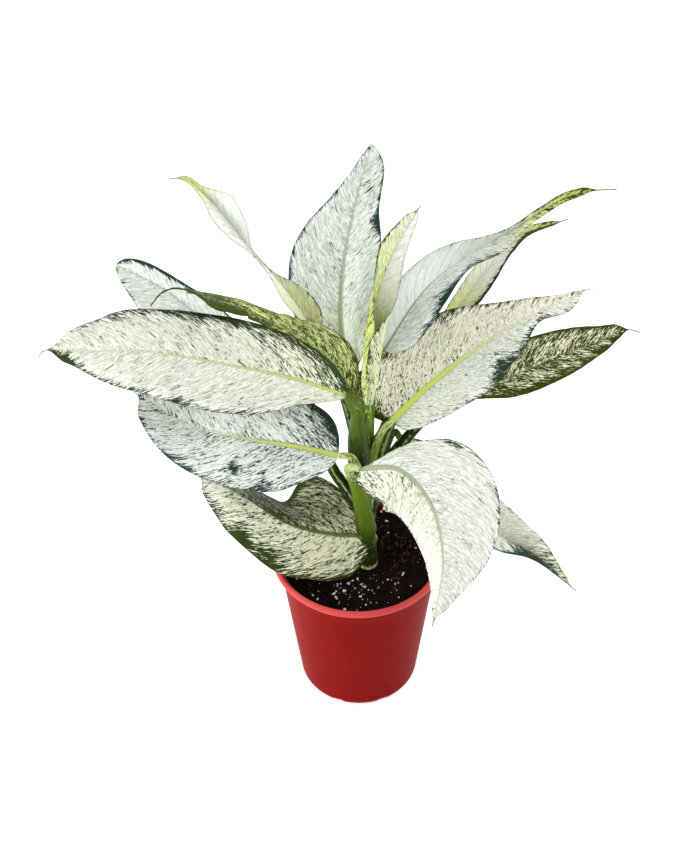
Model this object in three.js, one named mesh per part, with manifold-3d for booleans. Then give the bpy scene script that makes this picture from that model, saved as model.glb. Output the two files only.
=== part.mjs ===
// A dieffenbachia in its nursery pot: pot, potting soil, one green stem with all its leaf
// stalks, and one blade for each leaf. Millimetres, +Z up. The origin is the middle of the
// circle that the pot's foot stands on, and -Y is the side that the plant is looked at from.
import * as THREE from "three";
import { mergeVertices } from "three/addons/utils/BufferGeometryUtils.js";
import Module from "manifold-3d";

const wasm = await Module();
wasm.setup();

// ---- driving dimensions ----------------------------------------------------------------

const GAP = 0.3; // between pieces that touch

// pot: a plain cone of thin moulded plastic with a rolled lip and a notched foot
const POT_HEIGHT = 148;
const LIP_RADIUS = 75;
const LIP_HEIGHT = 7;
const LIP_BODY = 4; // the lip's thickness
const LIP_ROUND = 2.6; // how far its outer face bulges
const LIP_BEVEL = 1; // of its inner upper edge
const ROUND_STEPS = 4; // in each rounded part of the section
const WALL_TOP_RADIUS = 69;
const WALL_FOOT_RADIUS = 53;
const WALL = 1.6;
const FLOOR_UNDERSIDE = 3;
const FLOOR_THICKNESS = 2;
const CORNER_HEIGHT = 8; // where the wall turns in to the foot
const FOOT_RADIUS = 48.5;
const FOOT_WIDTH = 3;
const POT_SIDES = 48;
const FOOT_NOTCHES = 8;
const NOTCH_WIDTH = 9;
const NOTCH_HEIGHT = 2.6;
const DRAIN_HOLES = 8;
const DRAIN_RADIUS = 4.5;
const DRAIN_RING_RADIUS = 33;
const DRAIN_SIDES = 10;
const GATE_RADIUS = 7; // the disc in the middle of the underside where the pot was moulded from

// soil
const SOIL_LEVEL = 137;
const SOIL_SIDES = 40;
const SOIL_RINGS = 7;
const SOIL_RELIEF = 1.1;
const SOIL_MOUND = 2.5; // how much higher it lies round the stem
const MOUND_SPREAD = 28;
const SOIL_EDGE = 2; // the slope where it has shrunk from the wall
const SOIL_CLEARANCE = 0.45; // to the wall and the stem
const PERLITE_GRAINS = 46;
const PERLITE_RADIUS = 1.7;
const PERLITE_SPREAD = 0.6; // the smallest grain, of the radius above
const PERLITE_SUNK = 0.4; // of a grain's own radius
const PERLITE_MARGIN = 8; // to the wall
const PERLITE_SEED = 7;

// stem: the cane, and the stalks that sheathe it
const CANE_FOOT = [9, -15, 98]; // its cut end, in the soil
const CANE_TOP = [7, 4, 236];
const CANE_RADIUS = 7.2;
const CANE_TOP_RADIUS = 5;
const COLLAR_HEIGHT = 146; // the pale swollen ring at the foot of the cane
const COLLAR_RADIUS = 9.6;
const COLLAR_SPREAD = 7;
const CANE_SIDES = 16;
const CANE_STEPS = 18;
const STALK_SIDES = 8;
const STALK_STEPS = 9;
const STALK_TIP_RADIUS = 2.6;
const STALK_TAPER = 0.8;
const STALK_LEAD = 12; // the last part of a stalk, which already points along the blade
const STALK_SWING = [[0.33, 0.14], [0.66, 0.46]]; // its share of the height, and of the way out

// blades
const BLADE = 0.8;
const RIB_DEPTH = 2.6; // how far the midrib stands out under the blade, at its base
const RIB_TAPER = 0.8;
const RIB_WIDTH = 0.07; // of the half width
const BLADE_ROWS = 15;
const BLADE_COLUMNS = [-1, -0.7, -0.36, -RIB_WIDTH, 0, RIB_WIDTH, 0.36, 0.7, 1];
const NARROWEST = 1.2; // half width at the stalk and at the tip
const ROW_CROWDING = 0.07; // how much closer the rows stand at both ends
const WAVE_WIDTH = 15; // a half narrower than this waves less
const WAVE_SHIFT = 1.3; // of the left margin's waves against the right one's

// Every leaf. rib: the midrib's course from the stalk to the tip. face: the way the upper
// side looks at the base, the middle and the tip. half: the half widths on the left and right
// of the midrib, seen from above with the tip ahead. shape: how blunt the base and the tip
// are. fold: how far each half is folded up from flat, in degrees, at base, middle and tip.
// curl: how much further each half bends on its way to the margin. wave: height, count and
// phase of the waves along the margin. foot: height on the cane where the stalk starts, and
// stalk: the stalk's radius there.
const LEAVES = [
  {
    name: "leaf_front_left",
    rib: [[-8, -30, 351], [-52, -26, 367], [-110, -18, 377], [-172, -6, 380], [-249, 8, 368]],
    face: [[0.1, -0.7, 0.7], [0, -0.72, 0.7], [-0.1, -0.6, 0.8]],
    half: [38, 39], shape: [0.55, 0.8],
    fold: [[14, 4], [12, 4], [10, 4]], curl: [-25, -35], wave: [2, 2, 0],
    foot: 196, stalk: 6.5,
  },
  {
    name: "leaf_lower_left",
    rib: [[-16, -14, 273], [-47, -10, 279], [-96, 2, 280], [-138, 18, 281], [-184, 38, 300]],
    face: [[0, -0.7, 0.7], [0, -0.7, 0.7], [0, -0.6, 0.8]],
    half: [42, 44], shape: [0.5, 0.7],
    fold: [[10, 10], [8, 8], [6, 6]], curl: [-15, -20], wave: [2, 2, 1],
    foot: 176, stalk: 5.5,
  },
  {
    name: "leaf_rim_left",
    rib: [[0, -8, 173], [-28, -16, 185], [-61, -20, 203], [-98, -12, 229], [-135, 8, 234]],
    face: [[-0.1, -0.7, 0.7], [0, -0.7, 0.7], [0, -0.7, 0.7]],
    half: [46, 46], shape: [0.42, 0.8],
    fold: [[10, 10], [4, -70], [4, -80]], curl: [-15, -20], wave: [2, 2, 1],
    foot: 150, stalk: 5,
  },
  {
    name: "leaf_front_right",
    rib: [[2, -25, 268], [33, -41, 281], [57, -62, 263], [67, -80, 217], [60, -88, 146]],
    face: [[0.2, -0.3, 0.9], [0.2, -0.75, 0.6], [0.3, -0.9, 0.2]],
    half: [56, 33], shape: [0.66, 1],
    fold: [[6, -20], [0, -40], [0, -40]], curl: [-10, -20], wave: [2, 2, 1],
    foot: 158, stalk: 6.5,
  },
  {
    name: "leaf_right",
    rib: [[29, 4, 294], [58, 24, 312], [97, 46, 332], [143, 64, 352], [196, 80, 367]],
    face: [[-0.3, -0.6, 0.7], [-0.2, -0.6, 0.8], [0, -0.5, 0.8]],
    half: [40, 35], shape: [0.4, 1.15],
    fold: [[4, 14], [2, 17], [0, 20]], curl: [-15, -20], wave: [2, 2, 1],
    foot: 205, stalk: 6.5,
  },
  {
    name: "leaf_far_left",
    rib: [[-47, 44, 287], [-84, 64, 308], [-121, 84, 331], [-158, 104, 355], [-198, 120, 370]],
    face: [[0.2, -0.5, 0.8], [0.2, -0.5, 0.8], [0, -0.6, 0.8]],
    half: [32, 18], shape: [0.5, 0.6],
    fold: [[10, 40], [8, 50], [6, 50]], curl: [-15, -20], wave: [2, 2, 1],
    foot: 186, stalk: 5.5,
  },
  {
    name: "leaf_arched_left",
    rib: [[-2, 12, 314], [-25, 24, 347], [-72, 32, 380], [-118, 36, 399], [-161, 30, 396]],
    face: [[0.5, -0.2, 0.8], [0.3, 0.3, 0.9], [0, 0.6, 0.6]],
    half: [22, 31], shape: [0.5, 0.85],
    fold: [[6, 10], [6, 8], [6, 6]], curl: [-15, -20], wave: [2, 2, 1],
    foot: 224, stalk: 6,
  },
  {
    name: "leaf_low_right",
    rib: [[38, 26, 250], [70, 20, 213], [114, 6, 165], [155, -10, 145], [189, -24, 116]],
    face: [[0.2, -0.5, 0.8], [0.3, -0.5, 0.8], [0.7, -0.5, 0.5]],
    half: [22, 30], shape: [0.5, 0.85],
    fold: [[20, 20], [50, 50], [50, 50]], curl: [-15, -20], wave: [2, 2, 1],
    foot: 170, stalk: 5.5,
  },
  {
    name: "leaf_dark_right",
    rib: [[81, 30, 294], [115, 46, 295], [154, 60, 304], [196, 74, 313], [238, 82, 320]],
    face: [[0, -0.4, 0.9], [0, -0.5, 0.9], [0, -0.5, 0.8]],
    half: [26, 20], shape: [0.6, 0.75],
    fold: [[10, 10], [8, 8], [6, 6]], curl: [-15, -20], wave: [2, 2, 1],
    foot: 180, stalk: 5.5,
  },
  {
    name: "leaf_centre",
    rib: [[-5, 62, 297], [-11, 92, 331], [-8, 122, 367], [2, 150, 407], [16, 174, 449]],
    face: [[-0.1, -0.8, 0.6], [0, -0.8, 0.6], [0.3, -0.8, 0.5]],
    half: [42, 42], shape: [0.5, 0.85],
    fold: [[6, 62], [3, 48], [0, 0]], curl: [-15, -20], wave: [2, 2, 1],
    foot: 214, stalk: 6.5,
  },
  {
    name: "leaf_upper_right",
    rib: [[22, 16, 358], [55, 44, 396], [98, 72, 416], [153, 96, 438], [212, 112, 441]],
    face: [[-0.3, -0.6, 0.7], [-0.3, -0.6, 0.7], [-0.1, -0.2, 0.9]],
    half: [24, 34], shape: [0.5, 1],
    fold: [[0, 10], [80, 65], [85, 75]], curl: [-10, -10], wave: [2, 2, 1],
    foot: 228, stalk: 6,
  },
  {
    name: "leaf_behind_right",
    rib: [[71, 84, 323], [90, 98, 341], [111, 112, 364], [134, 124, 387], [178, 132, 400]],
    face: [[-0.3, -0.6, 0.7], [-0.6, -0.5, 0.2], [-0.6, -0.4, 0.2]],
    half: [11, 20], shape: [0.5, 0.85],
    fold: [[40, 20], [60, 30], [50, 40]], curl: [-15, -20], wave: [1, 2, 1],
    foot: 194, stalk: 5.5,
  },
  {
    name: "leaf_upper_left",
    rib: [[-28, 58, 330], [-54, 78, 369], [-83, 98, 396], [-107, 112, 425], [-149, 124, 451]],
    face: [[0.2, -0.6, 0.5], [0.2, -0.9, 0.4], [0.2, -0.6, 0.8]],
    half: [15, 9], shape: [0.6, 0.7],
    fold: [[80, 30], [55, 55], [50, 60]], curl: [-15, -20], wave: [1, 2, 1],
    foot: 218, stalk: 5.5,
  },
  {
    name: "leaf_spear",
    rib: [[9, 0, 316], [11, 14, 365], [18, 30, 406], [32, 48, 436], [52, 66, 463]],
    face: [[0, -0.8, 0.5], [0.3, -0.8, 0.5], [0.4, -0.8, 0.5]],
    half: [20, 20], shape: [0.3, 0.6],
    fold: [[85, 85], [50, 50], [0, 0]], curl: [10, 10], wave: [0, 2, 1],
    foot: 232, stalk: 5.5,
  },
];

// ---- helpers -----------------------------------------------------------------------------

const radians = THREE.MathUtils.degToRad;
const vector = (point) => new THREE.Vector3(...point);
const splineThrough = (points) => new THREE.CatmullRomCurve3(points, false, "catmullrom", 0.5);

// A repeatable draw of numbers from 0 to 1.
function seededDraw(seed) {
  let state = seed;
  return () => {
    state = (state * 16807) % 2147483647;
    return state / 2147483647;
  };
}

function geometryOf(positions, triangles) {
  const geometry = new THREE.BufferGeometry();
  geometry.setAttribute("position", new THREE.Float32BufferAttribute(positions, 3));
  geometry.setIndex(triangles);
  return geometry;
}

function solidOf(geometry) {
  const bare = geometry.clone();
  bare.deleteAttribute("normal");
  bare.deleteAttribute("uv");
  const merged = mergeVertices(bare, 1e-4);
  return new wasm.Manifold(
    new wasm.Mesh({
      numProp: 3,
      vertProperties: new Float32Array(merged.attributes.position.array),
      triVerts: new Uint32Array(merged.index.array),
    }),
  );
}

function geometryOfSolid(solid) {
  const mesh = solid.getMesh();
  return geometryOf(Array.from(mesh.vertProperties), Array.from(mesh.triVerts));
}

// Closed rings of points joined into a skin, with a fan over each end.
function skinOfRings(rings) {
  const sides = rings[0].length;
  const positions = rings.flat().flatMap((p) => p.toArray());
  const triangles = [];
  for (let ring = 0; ring + 1 < rings.length; ring++) {
    for (let side = 0; side < sides; side++) {
      const a = ring * sides + side;
      const b = ring * sides + ((side + 1) % sides);
      triangles.push(a, b, b + sides, a, b + sides, a + sides);
    }
  }
  const last = (rings.length - 1) * sides;
  for (let side = 1; side + 1 < sides; side++) {
    triangles.push(0, side + 1, side);
    triangles.push(last, last + side, last + side + 1);
  }
  return geometryOf(positions, triangles);
}

// A round tube along a curve whose radius follows a function of the way along it.
function tube(curve, radiusAt, sides, steps) {
  const frames = curve.computeFrenetFrames(steps, false);
  const rings = [];
  for (let step = 0; step <= steps; step++) {
    const along = step / steps;
    const centre = curve.getPointAt(along);
    const ring = [];
    for (let side = 0; side < sides; side++) {
      const turn = (side / sides) * 2 * Math.PI;
      const arm = frames.normals[step].clone().multiplyScalar(Math.cos(turn));
      arm.addScaledVector(frames.binormals[step], Math.sin(turn));
      ring.push(arm.multiplyScalar(radiusAt(along)).add(centre));
    }
    rings.push(ring);
  }
  return skinOfRings(rings);
}

function lathe(profile, sides) {
  const points = profile.map(([radius, height]) => new THREE.Vector2(radius, height));
  return new THREE.LatheGeometry(points, sides).rotateX(Math.PI / 2);
}

function cylinder(radius, low, high, sides) {
  const geometry = new THREE.CylinderGeometry(radius, radius, high - low, sides);
  return geometry.rotateX(Math.PI / 2).translate(0, 0, (low + high) / 2);
}

function material(colour, roughness) {
  return new THREE.MeshStandardMaterial({ color: colour, roughness, metalness: 0 });
}

function named(name, geometry, finish) {
  const mesh = new THREE.Mesh(geometry, finish);
  mesh.name = name;
  return mesh;
}

// ---- pot ---------------------------------------------------------------------------------

// The outer wall's radius at a height, on the straight cone between foot corner and lip.
function wallRadius(height) {
  const share = (height - CORNER_HEIGHT) / (POT_HEIGHT - LIP_HEIGHT - CORNER_HEIGHT);
  return THREE.MathUtils.lerp(WALL_FOOT_RADIUS, WALL_TOP_RADIUS, share);
}

function potGeometry() {
  const lipLow = POT_HEIGHT - LIP_HEIGHT;
  const lipInner = LIP_RADIUS - LIP_BODY;
  const floorTop = FLOOR_UNDERSIDE + FLOOR_THICKNESS;
  const shares = Array.from({ length: ROUND_STEPS + 1 }, (_, step) => step / ROUND_STEPS);
  const footCorner = shares.map((share) => [
    FOOT_RADIUS + (WALL_FOOT_RADIUS - FOOT_RADIUS) * Math.sin((share * Math.PI) / 2),
    CORNER_HEIGHT * (1 - Math.cos((share * Math.PI) / 2)),
  ]);
  const lipFace = shares.map((share) => [
    LIP_RADIUS - LIP_ROUND * (1 - Math.sin(share * Math.PI)),
    lipLow + (LIP_HEIGHT / 2) * (1 - Math.cos(share * Math.PI)),
  ]);
  const profile = [
    [0, 0],
    [GATE_RADIUS, 0],
    [GATE_RADIUS, FLOOR_UNDERSIDE],
    [FOOT_RADIUS - FOOT_WIDTH, FLOOR_UNDERSIDE],
    [FOOT_RADIUS - FOOT_WIDTH, 0],
    ...footCorner,
    [WALL_TOP_RADIUS, lipLow],
    ...lipFace,
    [lipInner + LIP_BEVEL, POT_HEIGHT],
    [lipInner, POT_HEIGHT - LIP_BEVEL],
    [WALL_TOP_RADIUS - WALL, lipLow],
    [WALL_FOOT_RADIUS - WALL, CORNER_HEIGHT],
    [WALL_FOOT_RADIUS - 2 * WALL, floorTop],
    [0, floorTop],
  ];
  let pot = solidOf(lathe(profile, POT_SIDES));
  for (let i = 0; i < FOOT_NOTCHES; i++) {
    const turn = ((i + 0.5) / FOOT_NOTCHES) * 2 * Math.PI;
    const notch = new THREE.BoxGeometry(2 * CORNER_HEIGHT, NOTCH_WIDTH, 2 * NOTCH_HEIGHT);
    notch.translate(FOOT_RADIUS, 0, 0).rotateZ(turn);
    pot = pot.subtract(solidOf(notch));
  }
  for (let i = 0; i < DRAIN_HOLES; i++) {
    const turn = (i / DRAIN_HOLES) * 2 * Math.PI;
    const hole = cylinder(DRAIN_RADIUS, 0, 2 * floorTop, DRAIN_SIDES);
    hole.translate(DRAIN_RING_RADIUS, 0, 0).rotateZ(turn);
    pot = pot.subtract(solidOf(hole));
  }
  return geometryOfSolid(pot);
}

// ---- soil --------------------------------------------------------------------------------

// The soil's surface: a low mound round the stem with a crumbled relief of crossing waves.
function soilHeight(x, y) {
  const fromStem = Math.hypot(x - CANE_FOOT[0], y - CANE_FOOT[1]);
  const mound = SOIL_MOUND * Math.exp(-((fromStem / MOUND_SPREAD) ** 2));
  const relief = Math.sin(x * 0.31 + 1.2 * Math.sin(y * 0.23)) * Math.cos(y * 0.37 - x * 0.11);
  return SOIL_LEVEL + mound + SOIL_RELIEF * relief;
}

function soilGeometry() {
  const low = FLOOR_UNDERSIDE + FLOOR_THICKNESS + GAP;
  const lowRadius = WALL_FOOT_RADIUS - 2 * WALL - SOIL_CLEARANCE;
  const edge = SOIL_LEVEL - SOIL_RELIEF - SOIL_EDGE;
  const innerRadius = (height) => wallRadius(height) - WALL - SOIL_CLEARANCE;
  const topRadius = innerRadius(edge) - SOIL_EDGE;
  const circle = (radius, height) =>
    Array.from({ length: SOIL_SIDES }, (_, side) => {
      const turn = (side / SOIL_SIDES) * 2 * Math.PI;
      const x = radius * Math.cos(turn);
      const y = radius * Math.sin(turn);
      return new THREE.Vector3(x, y, height ?? soilHeight(x, y));
    });
  const rings = [circle(lowRadius, low), circle(innerRadius(CORNER_HEIGHT), CORNER_HEIGHT)];
  rings.push(circle(innerRadius(edge), edge));
  for (let ring = SOIL_RINGS; ring > 0; ring--) {
    rings.push(circle((topRadius * ring) / SOIL_RINGS));
  }
  let soil = solidOf(skinOfRings(rings));
  soil = soil.add(perliteSolid());
  const holeRadius = (along) => caneRadius(along) + SOIL_CLEARANCE;
  const hole = tube(caneCurve(), holeRadius, CANE_SIDES, CANE_STEPS);
  return geometryOfSolid(soil.subtract(solidOf(hole)));
}

// White grains half sunk in the soil, clear of the stem and of the wall.
function perliteSolid() {
  const draw = seededDraw(PERLITE_SEED);
  const grains = [];
  while (grains.length < PERLITE_GRAINS) {
    const radius = (WALL_TOP_RADIUS - PERLITE_MARGIN) * Math.sqrt(draw());
    const turn = 2 * Math.PI * draw();
    const x = radius * Math.cos(turn);
    const y = radius * Math.sin(turn);
    const size = PERLITE_RADIUS * (PERLITE_SPREAD + draw() * PERLITE_SPREAD);
    if (Math.hypot(x - CANE_FOOT[0], y - CANE_FOOT[1]) < 2 * COLLAR_RADIUS) continue;
    const grain = new THREE.OctahedronGeometry(size).rotateZ(turn).rotateX(radius);
    grains.push(solidOf(grain.translate(x, y, soilHeight(x, y) - PERLITE_SUNK * size)));
  }
  return wasm.Manifold.union(grains);
}

// ---- stem --------------------------------------------------------------------------------

function caneCurve() {
  return new THREE.LineCurve3(vector(CANE_FOOT), vector(CANE_TOP));
}

function caneRadius(along) {
  const height = THREE.MathUtils.lerp(CANE_FOOT[2], CANE_TOP[2], along);
  const plain = THREE.MathUtils.lerp(CANE_RADIUS, CANE_TOP_RADIUS, along);
  const collar = COLLAR_RADIUS - CANE_RADIUS;
  return plain + collar * Math.exp(-(((height - COLLAR_HEIGHT) / COLLAR_SPREAD) ** 2));
}

// A stalk leaves the cane at its foot, sheathes it for a while, and swings out to the blade.
function stalkCurve(leaf) {
  const axis = caneCurve();
  const heightShare = (height) => (height - CANE_FOOT[2]) / (CANE_TOP[2] - CANE_FOOT[2]);
  const onAxis = (height) => axis.getPoint(heightShare(height));
  const base = vector(leaf.rib[0]);
  const start = onAxis(leaf.foot);
  const toBlade = vector(leaf.rib[1]).sub(base).normalize();
  const end = base.clone().addScaledVector(toBlade, -GAP);
  const before = end.clone().addScaledVector(toBlade, -STALK_LEAD);
  const swing = ([share, lean]) => {
    const point = onAxis(THREE.MathUtils.lerp(leaf.foot, before.z, share));
    point.x = THREE.MathUtils.lerp(point.x, before.x, lean);
    point.y = THREE.MathUtils.lerp(point.y, before.y, lean);
    return point;
  };
  return splineThrough([start, ...STALK_SWING.map(swing), before, end]);
}

function stemGeometry() {
  const cane = tube(caneCurve(), caneRadius, CANE_SIDES, CANE_STEPS);
  const parts = [solidOf(cane)];
  for (const leaf of LEAVES) {
    const radiusAt = (along) =>
      STALK_TIP_RADIUS + (leaf.stalk - STALK_TIP_RADIUS) * (1 - along) ** STALK_TAPER;
    parts.push(solidOf(tube(stalkCurve(leaf), radiusAt, STALK_SIDES, STALK_STEPS)));
  }
  return geometryOfSolid(wasm.Manifold.union(parts));
}

// ---- blades ------------------------------------------------------------------------------

// The blade's half width as a share of its greatest, from 0 at the stalk to 1 at the tip.
function outlineShare(along, [base, tip]) {
  const widest = base / (base + tip);
  return (along / widest) ** base * ((1 - along) / (1 - widest)) ** tip;
}

// The parabola through the values of three stations: base, middle and tip.
function stationValue([base, middle, tip], along) {
  const rest = 1 - along;
  return base * rest * (1 - 2 * along) + 4 * middle * along * rest - tip * along * (1 - 2 * along);
}

// One row of the blade: points on the upper and the lower skin from margin to margin. Each
// half leaves the midrib at its fold angle and bends evenly on to the margin, so it is a
// circular arc. The margin also rises and falls in waves, and a ridge under the middle is
// the midrib.
function bladeRow(leaf, curve, faceCurve, along) {
  const centre = curve.getPointAt(along);
  const ahead = curve.getTangentAt(along);
  const up = faceCurve.getPoint(along);
  up.addScaledVector(ahead, -up.dot(ahead)).normalize();
  const right = new THREE.Vector3().crossVectors(ahead, up);
  const share = outlineShare(along, leaf.shape);
  const [waveHeight, waveCount, wavePhase] = leaf.wave;
  const upper = [];
  const lower = [];
  for (const column of BLADE_COLUMNS) {
    const side = column < 0 ? 0 : 1;
    const reach = Math.abs(column);
    const half = Math.max(leaf.half[side] * share, NARROWEST);
    const fold = radians(stationValue(leaf.fold.map((station) => station[side]), along));
    const curl = radians(leaf.curl[side]);
    const across = (half * (Math.sin(fold + curl * reach) - Math.sin(fold))) / curl;
    const lift = (half * (Math.cos(fold) - Math.cos(fold + curl * reach))) / curl;
    const phase = 2 * Math.PI * waveCount * along + wavePhase + (side === 0 ? WAVE_SHIFT : 0);
    const wave = waveHeight * reach ** 2 * Math.sin(phase) * Math.min(1, half / WAVE_WIDTH);
    const angle = fold + curl * reach;
    const signed = Math.sign(column);
    const outward = up.clone().multiplyScalar(Math.cos(angle));
    outward.addScaledVector(right, -signed * Math.sin(angle));
    const middle = centre.clone().addScaledVector(right, signed * across);
    middle.addScaledVector(up, lift + wave);
    const ridge = column === 0 ? RIB_DEPTH * (1 - along) ** RIB_TAPER : 0;
    upper.push(middle.clone().addScaledVector(outward, BLADE / 2));
    lower.push(middle.clone().addScaledVector(outward, -BLADE / 2 - ridge));
  }
  return [...upper, ...lower.reverse()];
}

function bladeGeometry(leaf) {
  const curve = splineThrough(leaf.rib.map(vector));
  const faceCurve = splineThrough(leaf.face.map(vector));
  const rows = [];
  for (let row = 0; row < BLADE_ROWS; row++) {
    const share = row / (BLADE_ROWS - 1);
    const along = share - ROW_CROWDING * Math.sin(2 * Math.PI * share);
    rows.push(bladeRow(leaf, curve, faceCurve, along));
  }
  return geometryOf(rows.flat().flatMap((p) => p.toArray()), bladeTriangles(rows[0].length));
}

// Both skins are split along the same diagonals, which lean the other way on the left half.
function bladeTriangles(around) {
  const columns = around / 2;
  const middle = (columns - 1) / 2;
  const triangles = [];
  const quad = (a, b, c, d, flip) => {
    if (flip) triangles.push(a, b, d, b, c, d);
    else triangles.push(a, b, c, a, c, d);
  };
  for (let row = 0; row + 1 < BLADE_ROWS; row++) {
    const here = row * around;
    const next = here + around;
    for (let side = 0; side < around; side++) {
      const beside = (side + 1) % around;
      const column = side < columns ? side : around - 2 - side;
      const flip = (column < middle) !== (side >= columns);
      quad(here + side, here + beside, next + beside, next + side, flip);
    }
  }
  const last = (BLADE_ROWS - 1) * around;
  for (let column = 0; column + 1 < columns; column++) {
    const under = around - 1 - column;
    quad(column, under, under - 1, column + 1, false);
    quad(last + column, last + column + 1, last + under - 1, last + under, false);
  }
  return triangles;
}

// ---- the plant ---------------------------------------------------------------------------

const plant = new THREE.Group();
plant.add(named("pot", potGeometry(), material(0xb33331, 0.42)));
plant.add(named("soil", soilGeometry(), material(0x2a1d18, 0.95)));
plant.add(named("stem", stemGeometry(), material(0x7d9a2e, 0.5)));
for (const leaf of LEAVES) {
  plant.add(named(leaf.name, bladeGeometry(leaf), material(0xd5dcc4, 0.45)));
}

export default plant;
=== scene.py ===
"""A dieffenbachia in a red nursery pot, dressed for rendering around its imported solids.

The blades, stalks, cane, soil and pot repeat the sizes of the solids that they replace and
carry them out more finely: side veins, flecks, sheaths, crumbs, bark and perlite. Tables of
sizes are in millimetres, in the frame of the solids, and every mesh is in metres.
"""

import bpy
import numpy as np
from bpy.props import FloatProperty, FloatVectorProperty, IntProperty, PointerProperty
from bpy.types import Operator, Panel, PropertyGroup
from mathutils import Matrix, Vector


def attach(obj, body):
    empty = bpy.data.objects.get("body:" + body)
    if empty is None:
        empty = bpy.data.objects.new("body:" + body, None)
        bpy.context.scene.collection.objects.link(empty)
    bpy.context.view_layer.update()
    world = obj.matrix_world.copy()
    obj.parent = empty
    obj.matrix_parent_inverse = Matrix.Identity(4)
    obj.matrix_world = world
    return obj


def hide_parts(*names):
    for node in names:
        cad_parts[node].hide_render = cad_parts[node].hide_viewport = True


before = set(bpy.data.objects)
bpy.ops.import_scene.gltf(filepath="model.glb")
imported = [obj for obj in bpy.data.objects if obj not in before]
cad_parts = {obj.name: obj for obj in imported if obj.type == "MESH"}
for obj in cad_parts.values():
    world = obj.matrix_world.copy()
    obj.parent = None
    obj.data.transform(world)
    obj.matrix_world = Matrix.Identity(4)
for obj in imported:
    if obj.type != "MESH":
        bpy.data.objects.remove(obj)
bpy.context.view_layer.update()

bl_info = {
    "name": "Potted Dieffenbachia",
    "version": (1, 0, 0),
    "blender": (4, 5, 0),
    "location": "3D View > Sidebar > Dieffenbachia",
    "description": "Grows a pale flecked dieffenbachia in its nursery pot",
    "category": "Add Mesh",
}

MM = 0.001


def linear(colour):
    """The linear red, green and blue of an sRGB hex colour."""
    share = np.array([int(colour[i : i + 2], 16) for i in (1, 3, 5)]) / 255
    return tuple(np.where(share <= 0.04045, share / 12.92, ((share + 0.055) / 1.055) ** 2.4))


# ---- the object's own sizes, in millimetres ----------------------------------------------

# A turned shape ends in a flat face of this radius.
POLE = 1

# The pot's underside: a ring to stand on, by its outer radius, cut by notches, a moulding
# disc, and drain holes HOLES_OUT from the axis. FOOT_CORNER is the height of the rounded
# corner under the wall, FLOOR that of the floor inside, with a ring of points on it.
POT_SIDES = 480
FOOT_RING = 48.5
FOOT_RING_WIDTH = 3
FOOT_RING_HEIGHT = 3
FOOT_CORNER = 8
FOOT_EDGE = 0.4
NOTCHES = 8
NOTCH_WIDTH = 9
NOTCH_HEIGHT = 4
GATE_RADIUS = 7
FLOOR = 5
FLOOR_RING = 20
HOLES = 8
HOLES_OUT = 33
HOLE_RADIUS = 4.5

# The band under its lip, which stands out by BAND_DEPTH, the lip, and the radius of their
# edges.
BAND_HEIGHT = 11
BAND_DEPTH = 0.45
BAND_SLOPE = 1.2
LIP_BULGE = 2.6
LIP_WIDTH = 3
LIP_CHAMFER = 1
EDGE = 0.5

# The soil: how far its edge lies below its level, its gaps to the wall at the top and in the
# corner, its mound round the stem, the share and width of its lumps, and how far the loose
# grains keep from the cane.
SOIL_SIDES = 360
SOIL_RINGS = 150
SOIL_EDGE = 3.1
SOIL_GAP = 0.45
CORNER_GAP = 0.5
SOIL_BOTTOM = 5.3
MOUND_HEIGHT = 2.5
MOUND_WIDTH = 28
SOIL_LUMPS = ((0.9, 6.1), (0.55, 2.7), (0.3, 1.2))
CANE_CLEARANCE = 13

# The cane: the heights of its swollen ring, of the pale band under it, and of the scars of
# fallen leaves, which are ridges with a groove just over them.
CANE_SIDES = 96
CANE_RINGS = 260
CANE_FOOT = (9, -15, 98)
CANE_TOP = (7, 4, 236)
COLLAR = 146
COLLAR_WIDTH = 7
PALE_BAND = 142
SCARS = (141, 152, 161, 172, 185, 200)
SCAR_RIDGE = 0.45
SCAR_GROOVE = 0.25
SCAR_WIDTH = 0.9
SCAR_STEP = 1.9

# The stalks. Their channel and wings are in shares of the radius, and WING_TURN is where the
# wings stand, in radians from the channel.
STALK_SIDES = 40
STALK_RINGS = 90
STALK_TIP_RADIUS = 2.6
STALK_TAPER = 0.8
CHANNEL = 0.16
SHEATH_CHANNEL = 0.3
WING_TURN = 0.85
WING_HEIGHT = 0.22

# The blades. The midrib's half width is RIB_HALF at the base; above, it is a strip beside a
# groove, and below, a keel, wider by KEEL_WIDTH. Waves and ripples shrink where a half is
# narrower than WAVE_WIDTH, and the left half's waves run ahead by WAVE_SHIFT in radians.
# WANDER is how far the side veins wander, and WANDER_TURN how fast, in radians per
# millimetre. UNDERSIDE_COVER is how much more of the underside is green.
BLADE_ROWS = 190
BLADE_COLUMNS = 27
RIB_HALF = 2.4
RIB_STRIP = 0.3
RIB_GROOVE = 0.35
RIB_TAPER = 0.8
KEEL_WIDTH = 1.3
WAVE_WIDTH = 15
WAVE_SHIFT = 1.3
RIPPLE = 0.35
WANDER = 1.1
WANDER_TURN = 0.21
UNDERSIDE_COVER = 0.1

# The point that the camera looks at.
AIM = (-14, 0, 293.6)

# What a leaf has unless its own row says otherwise. The comment on the rows explains it.
ORDINARY = dict(
    curl=(-15, -20), wave=(2, 2, 1), trim=(1, 1), refold=(0, 0), roll=(0, 0), tail=0.97,
    lobe=(0, 0), lead=12, swing=((0.33, 0.14), (0.66, 0.46)), sheath=(0.45, 0.45), wide=0,
    knuckle=0.25, brightness_and_shade=0, blotches=(), stretch=1, grain=1,
)
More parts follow.
